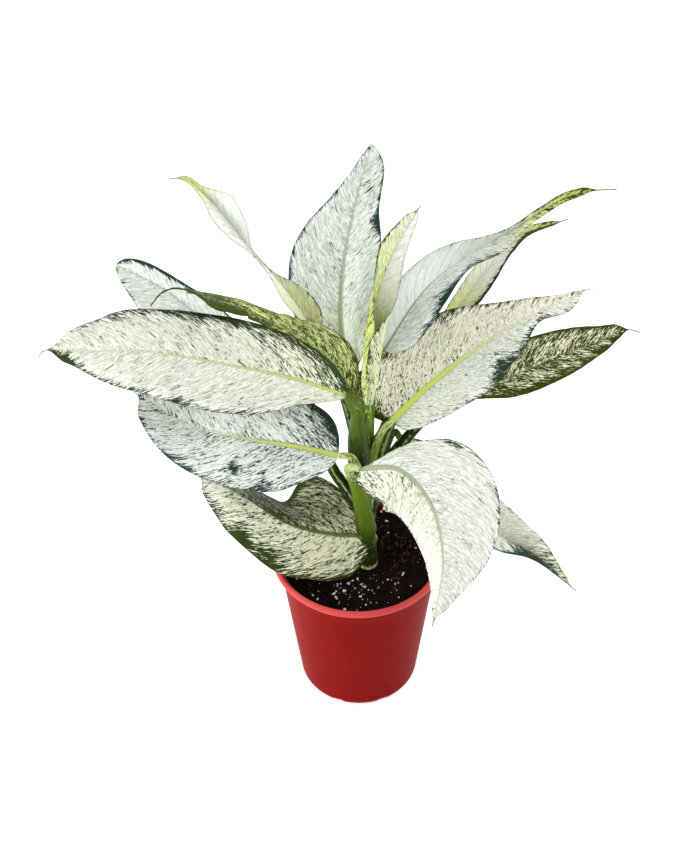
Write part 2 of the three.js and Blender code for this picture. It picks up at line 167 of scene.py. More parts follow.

# The same leaves as in the solids. rib: the midrib's course. face: the way the upper side
# looks at base, middle and tip. half: half widths left and right of the midrib. shape: how
# blunt base and tip are. fold: how far each half is folded up, in degrees, at base, middle
# and tip. curl: how much further it bends on its way to the margin. wave: height, count and
# phase of the margin's waves. foot and stalk: where the stalk starts on the cane, and its
# radius there.
# The rest is each leaf's own finish. Values are given for the left and the right half, and a
# series of them is spaced evenly from base to tip.
# trim: factors on the half width. refold and roll: degrees added to fold and curl. tip: where
# along the rib another course begins, and that course, for tips that curl. tail: where the
# blade ends and only its thin tip goes on. lobe: how far the blade's base reaches back beside
# its stalk.
# opens: where the stalk's sheath opens to, if not to the cane. sheath: how much wider the
# stalk is at its foot, on either side of that opening. lead: how far it runs on straight
# before its blade, and wide: how much wider it is there. swing: two places along the stalk,
# each with how far it leans from the cane to the blade there. knuckle: how pale the stalk is
# under its blade. brightness_and_shade: how much brighter its green is; below 0 it is
# darker, as painted shade.
# cover: the share that is green, about half at 0.53. edges: width of the green that gathers
# at the margin, and its amount. blotches: place along, place across from -1 to 1, size, and
# added green. tone: 0 where greens lean to blue and creams to grey, 1 where they are olive
# and warm. lime: how yellow green the pale parts are. vein: the midrib's half width, its
# colour from olive at -1 through grey at 0 to lime at 1, and how plainly it shows. sweep: how
# far the side veins lean to the tip. stretch: above 1 the flecks are rounder. grain: above 1
# they are finer.
ROWS = (
    dict(
        name="leaf_front_left",
        rib=((-8, -30, 351), (-52, -26, 367), (-110, -18, 377), (-172, -6, 380), (-249, 8, 368)),
        face=((0.1, -0.7, 0.7), (0, -0.72, 0.7), (-0.1, -0.6, 0.8)),
        half=(38, 39), shape=(0.55, 0.8),
        fold=((14, 4), (12, 4), (10, 4)), curl=(-25, -35), wave=(2, 2, 0),
        # The stalk's darker green here is painted shade.
        foot=196, stalk=6.5, lead=5, wide=1.8, brightness_and_shade=-0.5, knuckle=0.05, sheath=(1.6, 0.2),
        trim=((0.45, 0.65, 0.93, 1, 1, 1, 1, 0.75, 0.6), (1, 1, 1, 1, 1, 1.05, 1.2, 1.2, 1)),
        tip=(0.85, (-220, 4, 374), (-236, 7, 371), (-244, 8, 372), (-249, 8, 369),
             (-250, 7, 364)), tail=0.95,
        cover=((0.24, 0.23, 0.24, 0.26, 0.3, 0.32), (0.5, 0.44, 0.38, 0.32, 0.28, 0.26, 0.26)),
        edges=(
            (5, (0.1, 0.3, 0.35, 0.35, 0.35, 0.4, 0.3)),
            (8, (0.35, 0.45, 0.55, 0.5, 0.4, 0.3, 0.1)),
        ),
        blotches=((0.9, -0.95, 10, 0.35), (0.5, -0.75, 14, 0.12), (0.3, -0.7, 13, 0.15)),
        tone=(0.6, 0.7), lime=((0.2, 0.06, 0, 0, 0, 0.1), (0.35, 0.15, 0.03, 0, 0, 0.1)),
        vein=(1.3, 0.6, (0.9, 0.8, 0.6, 0.35, 0.15, 0.1)), sweep=1,
    ),
    dict(
        name="leaf_lower_left",
        rib=((-16, -14, 273), (-47, -10, 279), (-96, 2, 280), (-138, 18, 281), (-184, 38, 300)),
        face=((0, -0.7, 0.7), (0, -0.7, 0.7), (0, -0.6, 0.8)),
        half=(42, 44), shape=(0.5, 0.7),
        fold=((10, 10), (8, 8), (6, 6)),
        foot=176, stalk=5.5, knuckle=0.45,
        trim=((0.8, 0.88, 1, 1, 1, 1, 1, 1, 1), (1.3, 1.1, 1, 1, 1, 1, 1, 1, 1)),
        cover=((0.4, 0.43, 0.43, 0.41, 0.39, 0.37), (0.49, 0.46, 0.41, 0.38, 0.35, 0.33)),
        edges=((4, (0.1, 0.2, 0.25, 0.3, 0.2)), (6, (0.4, 0.3, 0.2, 0.2, 0.2))),
        blotches=((0.08, 0.85, 12, 0.2), (0.45, -0.6, 4, 0.4), (0.33, -0.8, 7, 0.2)),
        tone=(0.12, 0.12), lime=(0, 0),
        vein=(2.2, 0.7, (1, 0.95, 0.7, 0.25, 0.1, 0.1)), sweep=1,
    ),
    dict(
        name="leaf_rim_left",
        rib=((0, -8, 173), (-28, -16, 185), (-61, -20, 203), (-98, -12, 229), (-135, 8, 234)),
        face=((-0.1, -0.7, 0.7), (0, -0.7, 0.7), (0, -0.7, 0.7)),
        half=(46, 46), shape=(0.42, 0.8),
        fold=((10, 10), (4, -70), (4, -80)),
        foot=150, stalk=5,
        trim=(
            (1, 1, 0.92, 0.92, 0.86, 0.9, 1, 1, 1),
            (0.95, 1.3, 1.4, 0.95, 1.08, 1.45, 1.5, 1.1, 1),
        ),
        refold=(0, (0, 0, 0, 0, 4, 8, 8, 6, 0)),
        cover=(
            (0.4, 0.42, 0.44, 0.44, 0.42, 0.4, 0.36),
            (0.54, 0.52, 0.58, 0.72, 0.72, 0.55, 0.35),
        ),
        edges=((6, (0.3, 0.3, 0.3, 0.35, 0.3, 0.3)), (6, (0.2, 0.3, 0.9, 0.9, 0.6, 0.3))),
        blotches=((0.6, -0.82, 9, 0.35), (0.44, -0.8, 9, 0.25)),
        tone=(0.85, 1), lime=((0.28, 0.26, 0.22, 0.15, 0.05), 0.28),
        vein=(1.7, -0.8, (0.9, 0.9, 0.9, 0.8, 0.5, 0.3)), sweep=0.8, lobe=(11, 0),
    ),
    dict(
        name="leaf_front_right",
        rib=((2, -25, 268), (33, -41, 281), (57, -62, 263), (67, -80, 217), (60, -88, 146)),
        face=((0.2, -0.3, 0.9), (0.2, -0.75, 0.6), (0.3, -0.9, 0.2)),
        half=(56, 33), shape=(0.66, 1),
        fold=((6, -20), (0, -40), (0, -40)), curl=(-10, -20),
        foot=158, stalk=6.5, knuckle=0.6,
        trim=(
            (0.15, 0.4, 0.93, 1.02, 1, 1, 0.98, 0.75, 0.5),
            (1.3, 1.42, 1.22, 1.05, 0.95, 0.8, 0.6, 0.4, 0.4),
        ),
        cover=((0.28, 0.24, 0.24, 0.24, 0.24), (0.44, 0.36, 0.26, 0.22, 0.2)),
        edges=((3, (0.2, 0.35, 0.4, 0.35, 0.3)), (3, (0.3, 0.3, 0.3, 0.2, 0.2))),
        blotches=((0.27, -0.9, 5, 0.35),),
        tone=(0.45, 0.8), lime=((0, 0, 0, 0), (0.12, 0.06, 0.03, 0)),
        vein=(1.9, 0.2, (0.9, 0.85, 0.7, 0.5, 0.3, 0.2)), sweep=0.7, lobe=(0, 8),
    ),
    dict(
        name="leaf_right",
        rib=((29, 4, 294), (58, 24, 312), (97, 46, 332), (143, 64, 352), (196, 80, 367)),
        face=((-0.3, -0.6, 0.7), (-0.2, -0.6, 0.8), (0, -0.5, 0.8)),
        half=(40, 35), shape=(0.4, 1.15),
        fold=((4, 14), (2, 17), (0, 20)),
        foot=205, stalk=6.5, knuckle=0.5, brightness_and_shade=0.3,
        trim=(
            (2.1, 1.4, 1.28, 1.24, 1.15, 0.97, 0.86, 0.65, 0.5),
            (0.8, 0.85, 0.93, 1.06, 1.05, 0.95, 0.5, 1.3, 1.2),
        ),
        tip=(0.88, (182, 78, 364), (189, 80, 367), (196, 80, 365)), tail=0.96,
        cover=(
            (0.44, 0.4, 0.36, 0.33, 0.28, 0.24, 0.2),
            (0.24, 0.24, 0.26, 0.3, 0.26, 0.18, 0.18),
        ),
        edges=((7, (0.4, 0.45, 0.4, 0.3, 0.25, 0.2)), (6, (0.2, 0.2, 0.3, 0.45, 0.4, 0.2))),
        blotches=((0.5, 0.85, 10, 0.35), (0.03, -0.7, 12, 0.15)),
        tone=(1, 0.35), lime=((0.12, 0.08, 0.05, 0.02, 0), (0.1, 0.05, 0.05, 0)),
        vein=(3, 0.7, (1, 1, 0.9, 0.35, 0.12, 0.1, 0.1)), sweep=0.6, grain=1.25, lobe=(12, 3),
    ),
    dict(
        name="leaf_far_left",
        rib=((-47, 44, 287), (-84, 64, 308), (-121, 84, 331), (-158, 104, 355), (-198, 120, 370)),
        face=((0.2, -0.5, 0.8), (0.2, -0.5, 0.8), (0, -0.6, 0.8)),
        half=(32, 18), shape=(0.5, 0.6),
        fold=((10, 40), (8, 50), (6, 50)),
        foot=186, stalk=5.5, swing=((0.2, 0.34), (0.42, 0.69)), sheath=(0, 0),
        trim=((1, 1, 1, 1, 1, 1.1, 1.2, 1.1, 1), (1, 1, 1, 1, 1, 1, 1.05, 1.4, 2)), tail=1.05,
        cover=(0.24, 0.24), edges=((3, 0.4), (3, (0.2, 0.3, 0.5, 0.9, 0.9))),
        tone=(0.1, 0.1), lime=(0, 0), vein=(1, 0.1, 0.3), sweep=1,
    ),
    dict(
        name="leaf_arched_left",
        rib=((-2, 12, 314), (-25, 24, 347), (-72, 32, 380), (-118, 36, 399), (-161, 30, 396)),
        face=((0.5, -0.2, 0.8), (0.3, 0.3, 0.9), (0, 0.6, 0.6)),
        half=(22, 31), shape=(0.5, 0.85),
        fold=((6, 10), (6, 8), (6, 6)),
        foot=224, stalk=6, opens=(0.1, -1, 0),
        trim=((1, 1, 1, 1, 1, 1.1, 1.8, 1, 0.5), (1, 1.4, 1.4, 1.05, 0.6, 0.9, 1.8, 1, 0.5)),
        tip=(0.6, (-95, 31, 394), (-118, 34, 401), (-133, 34, 409), (-144, 33, 411),
             (-153, 31, 407), (-161, 29, 396)), tail=0.82,
        cover=(
            (0.64, 0.61, 0.57, 0.58, 0.66, 0.8, 0.8, 0.8),
            (0.62, 0.58, 0.53, 0.53, 0.58, 0.7, 0.8, 0.8),
        ),
        edges=((3, 0.4), (3, 0.2)),
        tone=(1, 1), lime=((0.7, 0.7, 0.75, 0.8),) * 2,
        vein=(0.8, -0.5, 0.3), sweep=0.7, stretch=1.7, grain=0.75,
    ),
    dict(
        name="leaf_low_right",
        rib=((38, 26, 250), (70, 20, 213), (114, 6, 165), (155, -10, 145), (189, -24, 116)),
        face=((0.2, -0.5, 0.8), (0.3, -0.5, 0.8), (0.7, -0.5, 0.5)),
        half=(22, 30), shape=(0.5, 0.85),
        fold=((20, 20), (50, 50), (50, 50)),
        # The stalk's darker green here is painted shade.
        foot=170, stalk=5.5, brightness_and_shade=-0.6,
        trim=((1, 1, 1, 1, 1.2, 1.35, 1.2, 0.7, 0.5), (1, 1, 1, 1, 1.1, 1.15, 0.6, 0.5, 0.5)),
        cover=(
            (0.28, 0.26, 0.24, 0.24, 0.22, 0.2, 0.2, 0.25, 0.5, 0.45, 0.35),
            (0.28, 0.26, 0.24, 0.24, 0.22, 0.22, 0.28, 0.75, 0.95, 0.4, 0.35),
        ),
        edges=((2, (0.3, 0.3, 0.2, 0.1, 0.2)), (2.5, (0.3, 0.3, 0.5, 0.3, 0.2))),
        tone=(0.55, 0.3), lime=((0, 0, 0, 0.1, 0.3),) * 2,
        vein=(1, 0.1, (0.7, 0.6, 0.3)), sweep=0.8,
    ),
    dict(
        name="leaf_dark_right",
        rib=((81, 30, 294), (115, 46, 295), (154, 60, 304), (196, 74, 313), (238, 82, 320)),
        face=((0, -0.4, 0.9), (0, -0.5, 0.9), (0, -0.5, 0.8)),
        half=(26, 20), shape=(0.6, 0.75),
        fold=((10, 10), (8, 8), (6, 6)),
        # The stalk's darker green here is painted shade.
        foot=180, stalk=5.5, brightness_and_shade=-0.9,
        trim=(
            (1, 1, 1, 0.96, 0.95, 0.93, 0.85, 0.62, 0.3),
            (0.6, 0.65, 0.85, 0.97, 1, 0.97, 0.8, 0.55, 0.3),
        ),
        tip=(0.8, (218, 78, 322), (229, 80, 324), (238, 81, 319)), tail=0.93,
        cover=((0.66, 0.64, 0.61, 0.59, 0.56, 0.52), (0.68, 0.65, 0.63, 0.6, 0.57, 0.54)),
        edges=((2.5, 0.3), (3, 0.35)),
        tone=(1, 1), lime=(0.25, 0.25),
        vein=(0.8, -0.5, 0.3), sweep=1.1, stretch=1.4,
    ),
    dict(
        name="leaf_centre",
        rib=((-5, 62, 297), (-11, 92, 331), (-8, 122, 367), (2, 150, 407), (16, 174, 449)),
        face=((-0.1, -0.8, 0.6), (0, -0.8, 0.6), (0.3, -0.8, 0.5)),
        half=(42, 42), shape=(0.5, 0.85),
        fold=((6, 62), (3, 48), (0, 0)),
        foot=214, stalk=6.5,
        trim=((1, 1, 1, 1.08, 1.12, 1, 0.74, 0.6, 0.7), (1, 1, 1, 1, 0.95, 0.83, 0.76, 1.1, 2)),
        tail=1.05,
        cover=((0.34, 0.33, 0.32, 0.3, 0.28), (0.32, 0.32, 0.32, 0.33, 0.28)),
        edges=((3, (0.2, 0.4, 0.4, 0.3, 0.3)), (2.5, (0.2, 0.2, 0.2, 0.4, 0.5, 0.3))),
        blotches=((0.68, 1, 8, 0.6),),
        tone=(0.15, 0.1), lime=((0.35, 0.04, 0, 0),) * 2,
        vein=(3.5, 0.25, (1, 0.85, 0.65, 0.5, 0.4, 0.3)), sweep=0.9,
    ),
    dict(
        name="leaf_upper_right",
        rib=((22, 16, 358), (55, 44, 396), (98, 72, 416), (153, 96, 438), (212, 112, 441)),
        face=((-0.3, -0.6, 0.7), (-0.3, -0.6, 0.7), (-0.1, -0.2, 0.9)),
        half=(24, 34), shape=(0.5, 1),
        fold=((0, 10), (80, 65), (85, 75)), curl=(-10, -10),
        foot=228, stalk=6,
        trim=(
            (1, 1, 1, 0.88, 0.5, 0.35, 0.6, 0.8, 0.6),
            (1, 1, 0.95, 0.8, 0.75, 0.3, 0.22, 0.3, 0.3),
        ),
        refold=(0, (0, 0, 0, 0, -20, -50, -60, -60, -60)),
        tip=(0.45, (122, 86, 419), (145, 97, 429), (167, 106, 438), (189, 110, 443),
             (211, 112, 442)), tail=0.93,
        cover=(
            (0.14, 0.12, 0.1, 0.14, 0.26, 0.34, 0.45, 0.5),
            (0.2, 0.26, 0.26, 0.24, 0.3, 0.5, 0.6, 0.5),
        ),
        edges=((2, 0.3), (6, (0.1, 0.5, 0.45, 0, 0, 0.1))),
        blotches=((0.27, 0.9, 10, 0.3),),
        tone=((0.1, 0.1, 0.1, 0.2, 0.8, 1), (0.1, 0.1, 0.1, 0.3, 1, 1)),
        lime=((0, 0, 0, 0, 0.05, 0.6, 0.9, 0.5), (0, 0, 0, 0, 0.2, 0.7, 0.9, 0.5)),
        vein=(1, 0, (0.8, 0.7, 0.5, 0.4)), sweep=0.8,
    ),
    dict(
        name="leaf_behind_right",
        rib=((71, 84, 323), (90, 98, 341), (111, 112, 364), (134, 124, 387), (178, 132, 400)),
        face=((-0.3, -0.6, 0.7), (-0.6, -0.5, 0.2), (-0.6, -0.4, 0.2)),
        half=(11, 20), shape=(0.5, 0.85),
        fold=((40, 20), (60, 30), (50, 40)), wave=(1, 2, 1),
        foot=194, stalk=5.5,
        trim=(1, (1, 0.8, 0.76, 0.78, 0.8, 0.72, 0.3, 0.25, 0.5)), tail=0.95,
        cover=((0.2, 0.2, 0.15, 0.08, 0.05, 0.35, 0.45, 0.2),) * 2,
        edges=((2, (0.3, 0.3, 0.1, 0.1, 0.4)), (3, (0.6, 1, 1, 1, 0.9, 0.5))),
        tone=(0.7, 0.5),
        lime=((0.8, 0.75, 0.4, 0.05, 0, 0.6, 0.9, 0.3),) * 2,
        vein=(0.8, 0.5, (0.6, 0.4, 0.1, 0.1, 0.3)), sweep=0.8,
    ),
    dict(
        name="leaf_upper_left",
        rib=((-28, 58, 330), (-54, 78, 369), (-83, 98, 396), (-107, 112, 425), (-149, 124, 451)),
        face=((0.2, -0.6, 0.5), (0.2, -0.9, 0.4), (0.2, -0.6, 0.8)),
        half=(15, 9), shape=(0.6, 0.7),
        fold=((80, 30), (55, 55), (50, 60)), wave=(1, 2, 1),
        foot=218, stalk=5.5,
        trim=(
            (1, 1.2, 1.15, 0.35, 0.14, 0.9, 1.15, 0.5, 0.9),
            (1, 2.5, 1.8, 0.35, 0.14, 1.7, 2.8, 1, 1.6),
        ),
        tip=(0.72, (-112, 118, 430), (-126, 121, 444), (-131, 122, 450), (-138, 123, 453),
             (-148, 124, 451)),
        cover=(
            (0.14, 0.12, 0.08, 0.05, 0.05, 0.05, 0.1),
            (0.34, 0.26, 0.12, 0.05, 0.05, 0.05, 0.1),
        ),
        edges=((1.2, 0.2), (2, (0.4, 0.4, 0.2, 0.1, 0.1, 0.2))),
        tone=((0.8, 0.8, 0.6, 0.3, 0.3, 0.5), (1, 1, 0.6, 0.3, 0.3, 0.5)),
        lime=((0.3, 0.3, 0.3, 0.1, 0, 0, 0, 0.6, 1), (0.5, 0.5, 0.4, 0.2, 0, 0, 0, 0.6, 1)),
        vein=(0.8, 0.3, (0.6, 0.5, 0.4, 0.3)), sweep=0.8,
    ),
    dict(
        name="leaf_spear",
        rib=((9, 0, 316), (11, 14, 365), (18, 30, 406), (32, 48, 436), (52, 66, 463)),
        face=((0, -0.8, 0.5), (0.3, -0.8, 0.5), (0.4, -0.8, 0.5)),
        half=(20, 20), shape=(0.3, 0.6),
        fold=((85, 85), (50, 50), (0, 0)), curl=(10, 10), wave=(0, 2, 1),
        foot=232, stalk=5.5,
        trim=(
            (1, 1.1, 1.1, 1.15, 1.15, 1.1, 1.4, 1.05, 0.8),
            (1.1, 1.3, 1.45, 1.5, 1.3, 0.95, 0.72, 0.64, 0.6),
        ),
        refold=((-80, -73, -64, -52, -28, -5, 0, 0, 0),) * 2,
        roll=((150, 150, 150, 140, 80, 20, 0, 0, 0), (195, 195, 195, 180, 95, 20, 0, 0, 0)),
        cover=(
            (0.31, 0.31, 0.34, 0.38, 0.35, 0.3, 0.25, 0.15),
            (0.3, 0.3, 0.3, 0.24, 0.14, 0.08, 0.06, 0.06),
        ),
        edges=((3, (0, 0, 0, 0, 0.5, 0.4, 0.2)), (1.5, (0.2, 0.3, 0.3, 0.3, 0.2))),
        tone=((1, 1, 1, 1, 1, 0.8, 0.5), (0.8, 0.8, 0.6, 0.4, 0.3, 0.3, 0.3)),
        lime=((0.6, 0.7, 0.85, 0.85, 0.7, 0.5, 0.3, 0.1), (0.4, 0.45, 0.45, 0.35, 0.05, 0, 0, 0)),
        vein=(1.1, 0.3, (0.6, 0.5, 0.3, 0.5, 0.4)), sweep=0.7,
    ),
)
LEAVES = [{**ORDINARY, **row} for row in ROWS]


# ---- sizes and colours that a user would change ------------------------------------------


class PotSettings(PropertyGroup):
    lip_radius: FloatProperty(
        name="Lip Radius", description="From the axis to the lip's outer face",
        default=75 * MM, unit="LENGTH",
    )
    height: FloatProperty(
        name="Height", description="From the foot to the top of the lip",
        default=148 * MM, unit="LENGTH",
    )
    lip_height: FloatProperty(
        name="Lip Height", description="Height of the rolled lip",
        default=7 * MM, unit="LENGTH",
    )
    top_radius: FloatProperty(
        name="Wall Radius, Top", description="Outer radius of the wall under the lip",
        default=69 * MM, unit="LENGTH",
    )
    foot_radius: FloatProperty(
        name="Wall Radius, Foot", description="Outer radius of the wall at the lower corner",
        default=53 * MM, unit="LENGTH",
    )
    wall: FloatProperty(
        name="Wall", description="Thickness of the moulded wall",
        default=1.6 * MM, unit="LENGTH",
    )
    red: FloatVectorProperty(
        name="Red", description="Colour of the moulded plastic",
        default=linear("#800F09"), subtype="COLOR", min=0, max=1,
    )


class SoilSettings(PropertyGroup):
    level: FloatProperty(
        name="Level", description="Height of the soil above the pot's foot",
        default=137 * MM, unit="LENGTH",
    )
    relief: FloatProperty(
        name="Relief", description="Height of the crumbled surface's lumps",
        default=1.1 * MM, unit="LENGTH",
    )
    crumbs: IntProperty(
        name="Crumbs", description="Loose crumbs of peat and bark on the surface", default=900,
    )
    perlite: IntProperty(
        name="Perlite", description="White grains on the surface", default=160,
    )
    shreds: IntProperty(
        name="Bark Shreds", description="Torn bark fibres on the surface", default=110,
    )
    brown: FloatVectorProperty(
        name="Brown", description="Colour of the moist soil",
        default=linear("#170C0A"), subtype="COLOR", min=0, max=1,
    )


class StemSettings(PropertyGroup):
    cane_radius: FloatProperty(
        name="Cane Radius", description="Radius of the cane at its foot",
        default=7.2 * MM, unit="LENGTH",
    )
    top_radius: FloatProperty(
        name="Cane Radius, Top", description="Radius of the cane at its top",
        default=5 * MM, unit="LENGTH",
    )
    collar_radius: FloatProperty(
        name="Collar Radius", description="Radius of the swollen ring at the soil",
        default=9.6 * MM, unit="LENGTH",
    )
    green: FloatVectorProperty(
        name="Green", description="Colour of a full-grown stalk",
        default=linear("#5A760D"), subtype="COLOR", min=0, max=1,
    )
    deep_green: FloatVectorProperty(
        name="Deep Green", description="Colour of the stalks' older, shaded sides",
        default=linear("#1F2C07"), subtype="COLOR", min=0, max=1,
    )


class BladeSettings(PropertyGroup):
    thickness: FloatProperty(
        name="Thickness", description="Thickness of a blade beside its midrib",
        default=0.7 * MM, unit="LENGTH",
    )
    rib_depth: FloatProperty(
        name="Midrib Depth", description="How far the midrib stands out under the blade",
        default=2.6 * MM, unit="LENGTH",
    )
    vein_spacing: FloatProperty(
        name="Vein Spacing", description="Distance between side veins",
        default=9 * MM, unit="LENGTH",
    )
    quilting: FloatProperty(
        name="Quilting", description="How far the blade bulges between its side veins",
        default=0.35 * MM, unit="LENGTH",
    )
    warm_cream: FloatVectorProperty(
        name="Warm Cream", description="The pale ground of blades that lean to olive",
        default=linear("#F6F2E4"), subtype="COLOR", min=0, max=1,
    )
    cool_white: FloatVectorProperty(
        name="Cool White", description="The pale ground of blades that lean to blue",
        default=linear("#EAF1EF"), subtype="COLOR", min=0, max=1,
    )
    olive: FloatVectorProperty(
        name="Olive", description="Warm flecks, blotches and margins",
        default=linear("#2E3D08"), subtype="COLOR", min=0, max=1,
    )
    teal: FloatVectorProperty(
        name="Teal", description="Cool flecks, blotches and margins",
        default=linear("#243B37"), subtype="COLOR", min=0, max=1,
    )
    lime: FloatVectorProperty(
        name="Lime", description="Young parts, tips and the brightest midribs",
        default=linear("#D3E05E"), subtype="COLOR", min=0, max=1,
    )
    grey_vein: FloatVectorProperty(
        name="Grey Vein", description="The net of small veins, and dull midribs",
        default=linear("#8E9880"), subtype="COLOR", min=0, max=1,
    )


class StageSettings(PropertyGroup):
    elevation: FloatProperty(
        name="Elevation", description="How steeply the camera looks down",
        default=np.radians(42.0), subtype="ANGLE",
    )
    distance: FloatProperty(
        name="Distance", description="From the camera to the point it looks at",
        default=1.393, unit="LENGTH",
    )
    lens: FloatProperty(
        name="Lens", description="Focal length in millimetres on a 36 mm wide sensor",
        default=90.85, unit="CAMERA",
    )
    roll: FloatProperty(
        name="Roll", description="The camera's turn about its line of sight",
        default=np.radians(0.96), subtype="ANGLE",
    )


# ---- curves and meshes -------------------------------------------------------------------

# Fine steps along a course.
FINE = np.linspace(0, 1, 601)


def spline(points, t):
    """Catmull-Rom spline through the points, at t from 0 to 1: in each span the cubic whose
    slopes at both ends are half the way between the neighbours, with the end points mirrored.
    """
    points = np.asarray(points, float)
    spans = len(points) - 1
    place = np.clip(t, 0, 1) * spans
    span = np.minimum(place.astype(int), spans - 1)
    f = (place - span)[:, None]
    padded = np.vstack([2 * points[0] - points[1], points, 2 * points[-1] - points[-2]])
    a, b, c, d = (padded[span + i] for i in range(4))
    cubic = 2 * b + (c - a) * f + (2 * a - 5 * b + 4 * c - d) * f**2
    return 0.5 * (cubic + (3 * b - 3 * c + d - a) * f**3)


def unit(vectors):
    """Each vector divided by its length."""
    return vectors / np.linalg.norm(vectors, axis=-1, keepdims=True)


def travel(points, share, nearby=0.004):
    """Points and directions at shares of the length of a fine chain of points, and that
    length. A direction is the difference of two nearby points, made one long."""
    chords = np.linalg.norm(np.diff(points, axis=0), axis=1)
    reached = np.concatenate([[0], np.cumsum(chords)])

    def at(place):
        wanted = np.clip(place, 0, 1) * reached[-1]
        return np.stack([np.interp(wanted, reached, axis) for axis in points.T], axis=1)

    return at(share), unit(at(share + nearby) - at(share - nearby)), reached[-1]


def along_curve(points, share):
    """Points and directions at shares of a spline's length, and that length."""
    return travel(spline(points, FINE), share)


def along_midrib(leaf, share):
    """The same for a leaf's midrib. Where the tip has a course of its own, that replaces the
    end of the spline, and the bends are rounded three times by averages over a thirtieth of
    the way. Both ends are mirrored for that."""
    points = spline(leaf["rib"], FINE)
    if "tip" in leaf:
        start, *course = leaf["tip"]
        points = travel(np.vstack([points[FINE <= start], course]), FINE)[0]
        beside, window = 10, 21
        for _ in range(3):
            before = 2 * points[0] - points[beside:0:-1]
            after = 2 * points[-1] - points[-2 : -2 - beside : -1]
            padded = np.vstack([np.zeros((1, 3)), before, points, after])
            summed = np.cumsum(padded, axis=0)
            points = (summed[window:] - summed[:-window]) / window
    return travel(points, share)


def smooth(low, high, x):
    """0 below low, 1 above high, and 3 x squared less 2 x cubed between."""
    share = np.clip((x - low) / (high - low), 0, 1)
    return share * share * (3 - 2 * share)


def station(values, along):
    """The parabola through the values at base, middle and tip."""
    base, middle, tip = values
    rest = 1 - along
    ends = base * rest * (1 - 2 * along) - tip * along * (1 - 2 * along)
    return ends + 4 * middle * along * rest


def evenly(values, along):
    """Straight between values spaced evenly from base to tip. One value holds throughout."""
    values = np.atleast_1d(values)
    return np.interp(along, np.linspace(0, 1, len(values)), values)


def softly(values, along):
    """The same along a spline through the values, at a column of places."""
    values = np.atleast_1d(values)
    if len(values) == 1:
        values = np.repeat(values, 2)
    return spline(values[:, None], along[:, 0])


def bell(x, width):
    """The bell curve of a distance: 1 in the middle, and 0.37 at the width."""
    return np.exp(-((x / width) ** 2))


def angles(sides):
    """The angles of a circle's points, one for each side."""
    return np.arange(sides) / sides * 2 * np.pi


def lattice_noise(x, y, cell, seed):
    """Random heights from -1 to 1 on a square lattice, blended smoothly over each cell."""
    table = np.random.default_rng(seed).uniform(-1, 1, (64, 64))
    x, y = x / cell, y / cell
    column, row = np.floor(x).astype(int), np.floor(y).astype(int)
    u, v = smooth(0, 1, x - column), smooth(0, 1, y - row)
    low = table[column % 64, row % 64] * (1 - u) + table[(column + 1) % 64, row % 64] * u
    high = table[column % 64, (row + 1) % 64] * (1 - u)
    high = high + table[(column + 1) % 64, (row + 1) % 64] * u
    return low * (1 - v) + high * v


def piece(name, points, faces, finish, fields=None, sharp=None):
    """A mesh object from points in millimetres, its faces, and a vector field per point for
    each named attribute. It rides on the root body."""
    mesh = bpy.data.meshes.new(name)
    mesh.from_pydata((points * MM).tolist(), [], faces)
    for field, values in (fields or {}).items():
        attribute = mesh.attributes.new(field, "FLOAT_VECTOR", "POINT")
        attribute.data.foreach_set("vector", np.ascontiguousarray(values, np.float32).ravel())
    mesh.shade_smooth()
    if sharp is not None:
        mesh.set_sharp_from_angle(angle=np.radians(sharp))
    if mesh.validate():
        raise RuntimeError(name + " has faces that don't fit together")
    mesh.materials.append(finish)
    made = bpy.data.objects.new(name, mesh)
    bpy.context.scene.collection.objects.link(made)
    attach(made, "root")
    return made


def lofted(rings, first=0):
    """Faces that join rings of points, each the same number round, counted on from first,
    with a flat face over each end."""
    count, around = rings
    grid = first + np.arange(count * around).reshape(count, around)
    beside = np.roll(grid, -1, axis=1)
    quads = np.stack([grid[:-1], beside[:-1], beside[1:], grid[1:]], axis=-1).reshape(-1, 4)
    return quads.tolist() + [grid[0][::-1].tolist(), grid[-1].tolist()]


def turned(profile, around):
    """Rings of a profile of radii and heights, turned about +Z."""
    turn = angles(around)
    radius, height = profile[:, 0, None], profile[:, 1, None]
    return np.stack([radius * np.cos(turn), radius * np.sin(turn), height + 0 * turn], axis=-1)


def rounded(profile, radius):
    """The profile with each inner corner replaced by five points of the parabola that runs
    from the side before it to the side after it, touching both. It starts at the radius from
    the corner, or at less than half of a shorter side."""
    profile = np.asarray(profile, float)
    before, corner, after = profile[:-2], profile[1:-1], profile[2:]
    cuts = []
    for side in (before, after):
        arm = side - corner
        reach = np.linalg.norm(arm, axis=1, keepdims=True)
        cuts.append(corner + arm / reach * np.minimum(radius, 0.42 * reach))
    f = np.linspace(0, 1, 5)[None, :, None]
    start, end = cuts[0][:, None], cuts[1][:, None]
    bends = start * (1 - f) ** 2 + 2 * corner[:, None] * f * (1 - f) + end * f**2
    return np.vstack([profile[:1], bends.reshape(-1, 2), profile[-1:]])


# ---- materials ---------------------------------------------------------------------------

# Settings that many nodes share: a soft S from one value to another, and a mix of colours.
SOFT = {"interpolation_type": "SMOOTHSTEP"}
TINTED = {"data_type": "RGBA"}


def add(tree, kind, inputs=None, **settings):
    """Adds a node with its settings. Each named or numbered input takes a value, or is linked
    to a socket or to the first output in use of another node."""
    node = tree.nodes.new("ShaderNode" + kind)
    for key, value in settings.items():
        setattr(node, key, value)
    for key, value in (inputs or {}).items():
        if isinstance(value, bpy.types.Node):
            value = next(output for output in value.outputs if output.enabled)
        if isinstance(value, bpy.types.NodeSocket):
            tree.links.new(value, node.inputs[key])
        else:
            node.inputs[key].default_value = value
    return node


def opaque(colour, strength=1):
    """The colour times a strength, with full opacity."""
    return (*(min(1, part * strength) for part in colour), 1)


def new_material(name):
    """An empty node material and its tree."""
    made = bpy.data.materials.new(name)
    made.use_nodes = True
    made.node_tree.nodes.clear()
    return made, made.node_tree


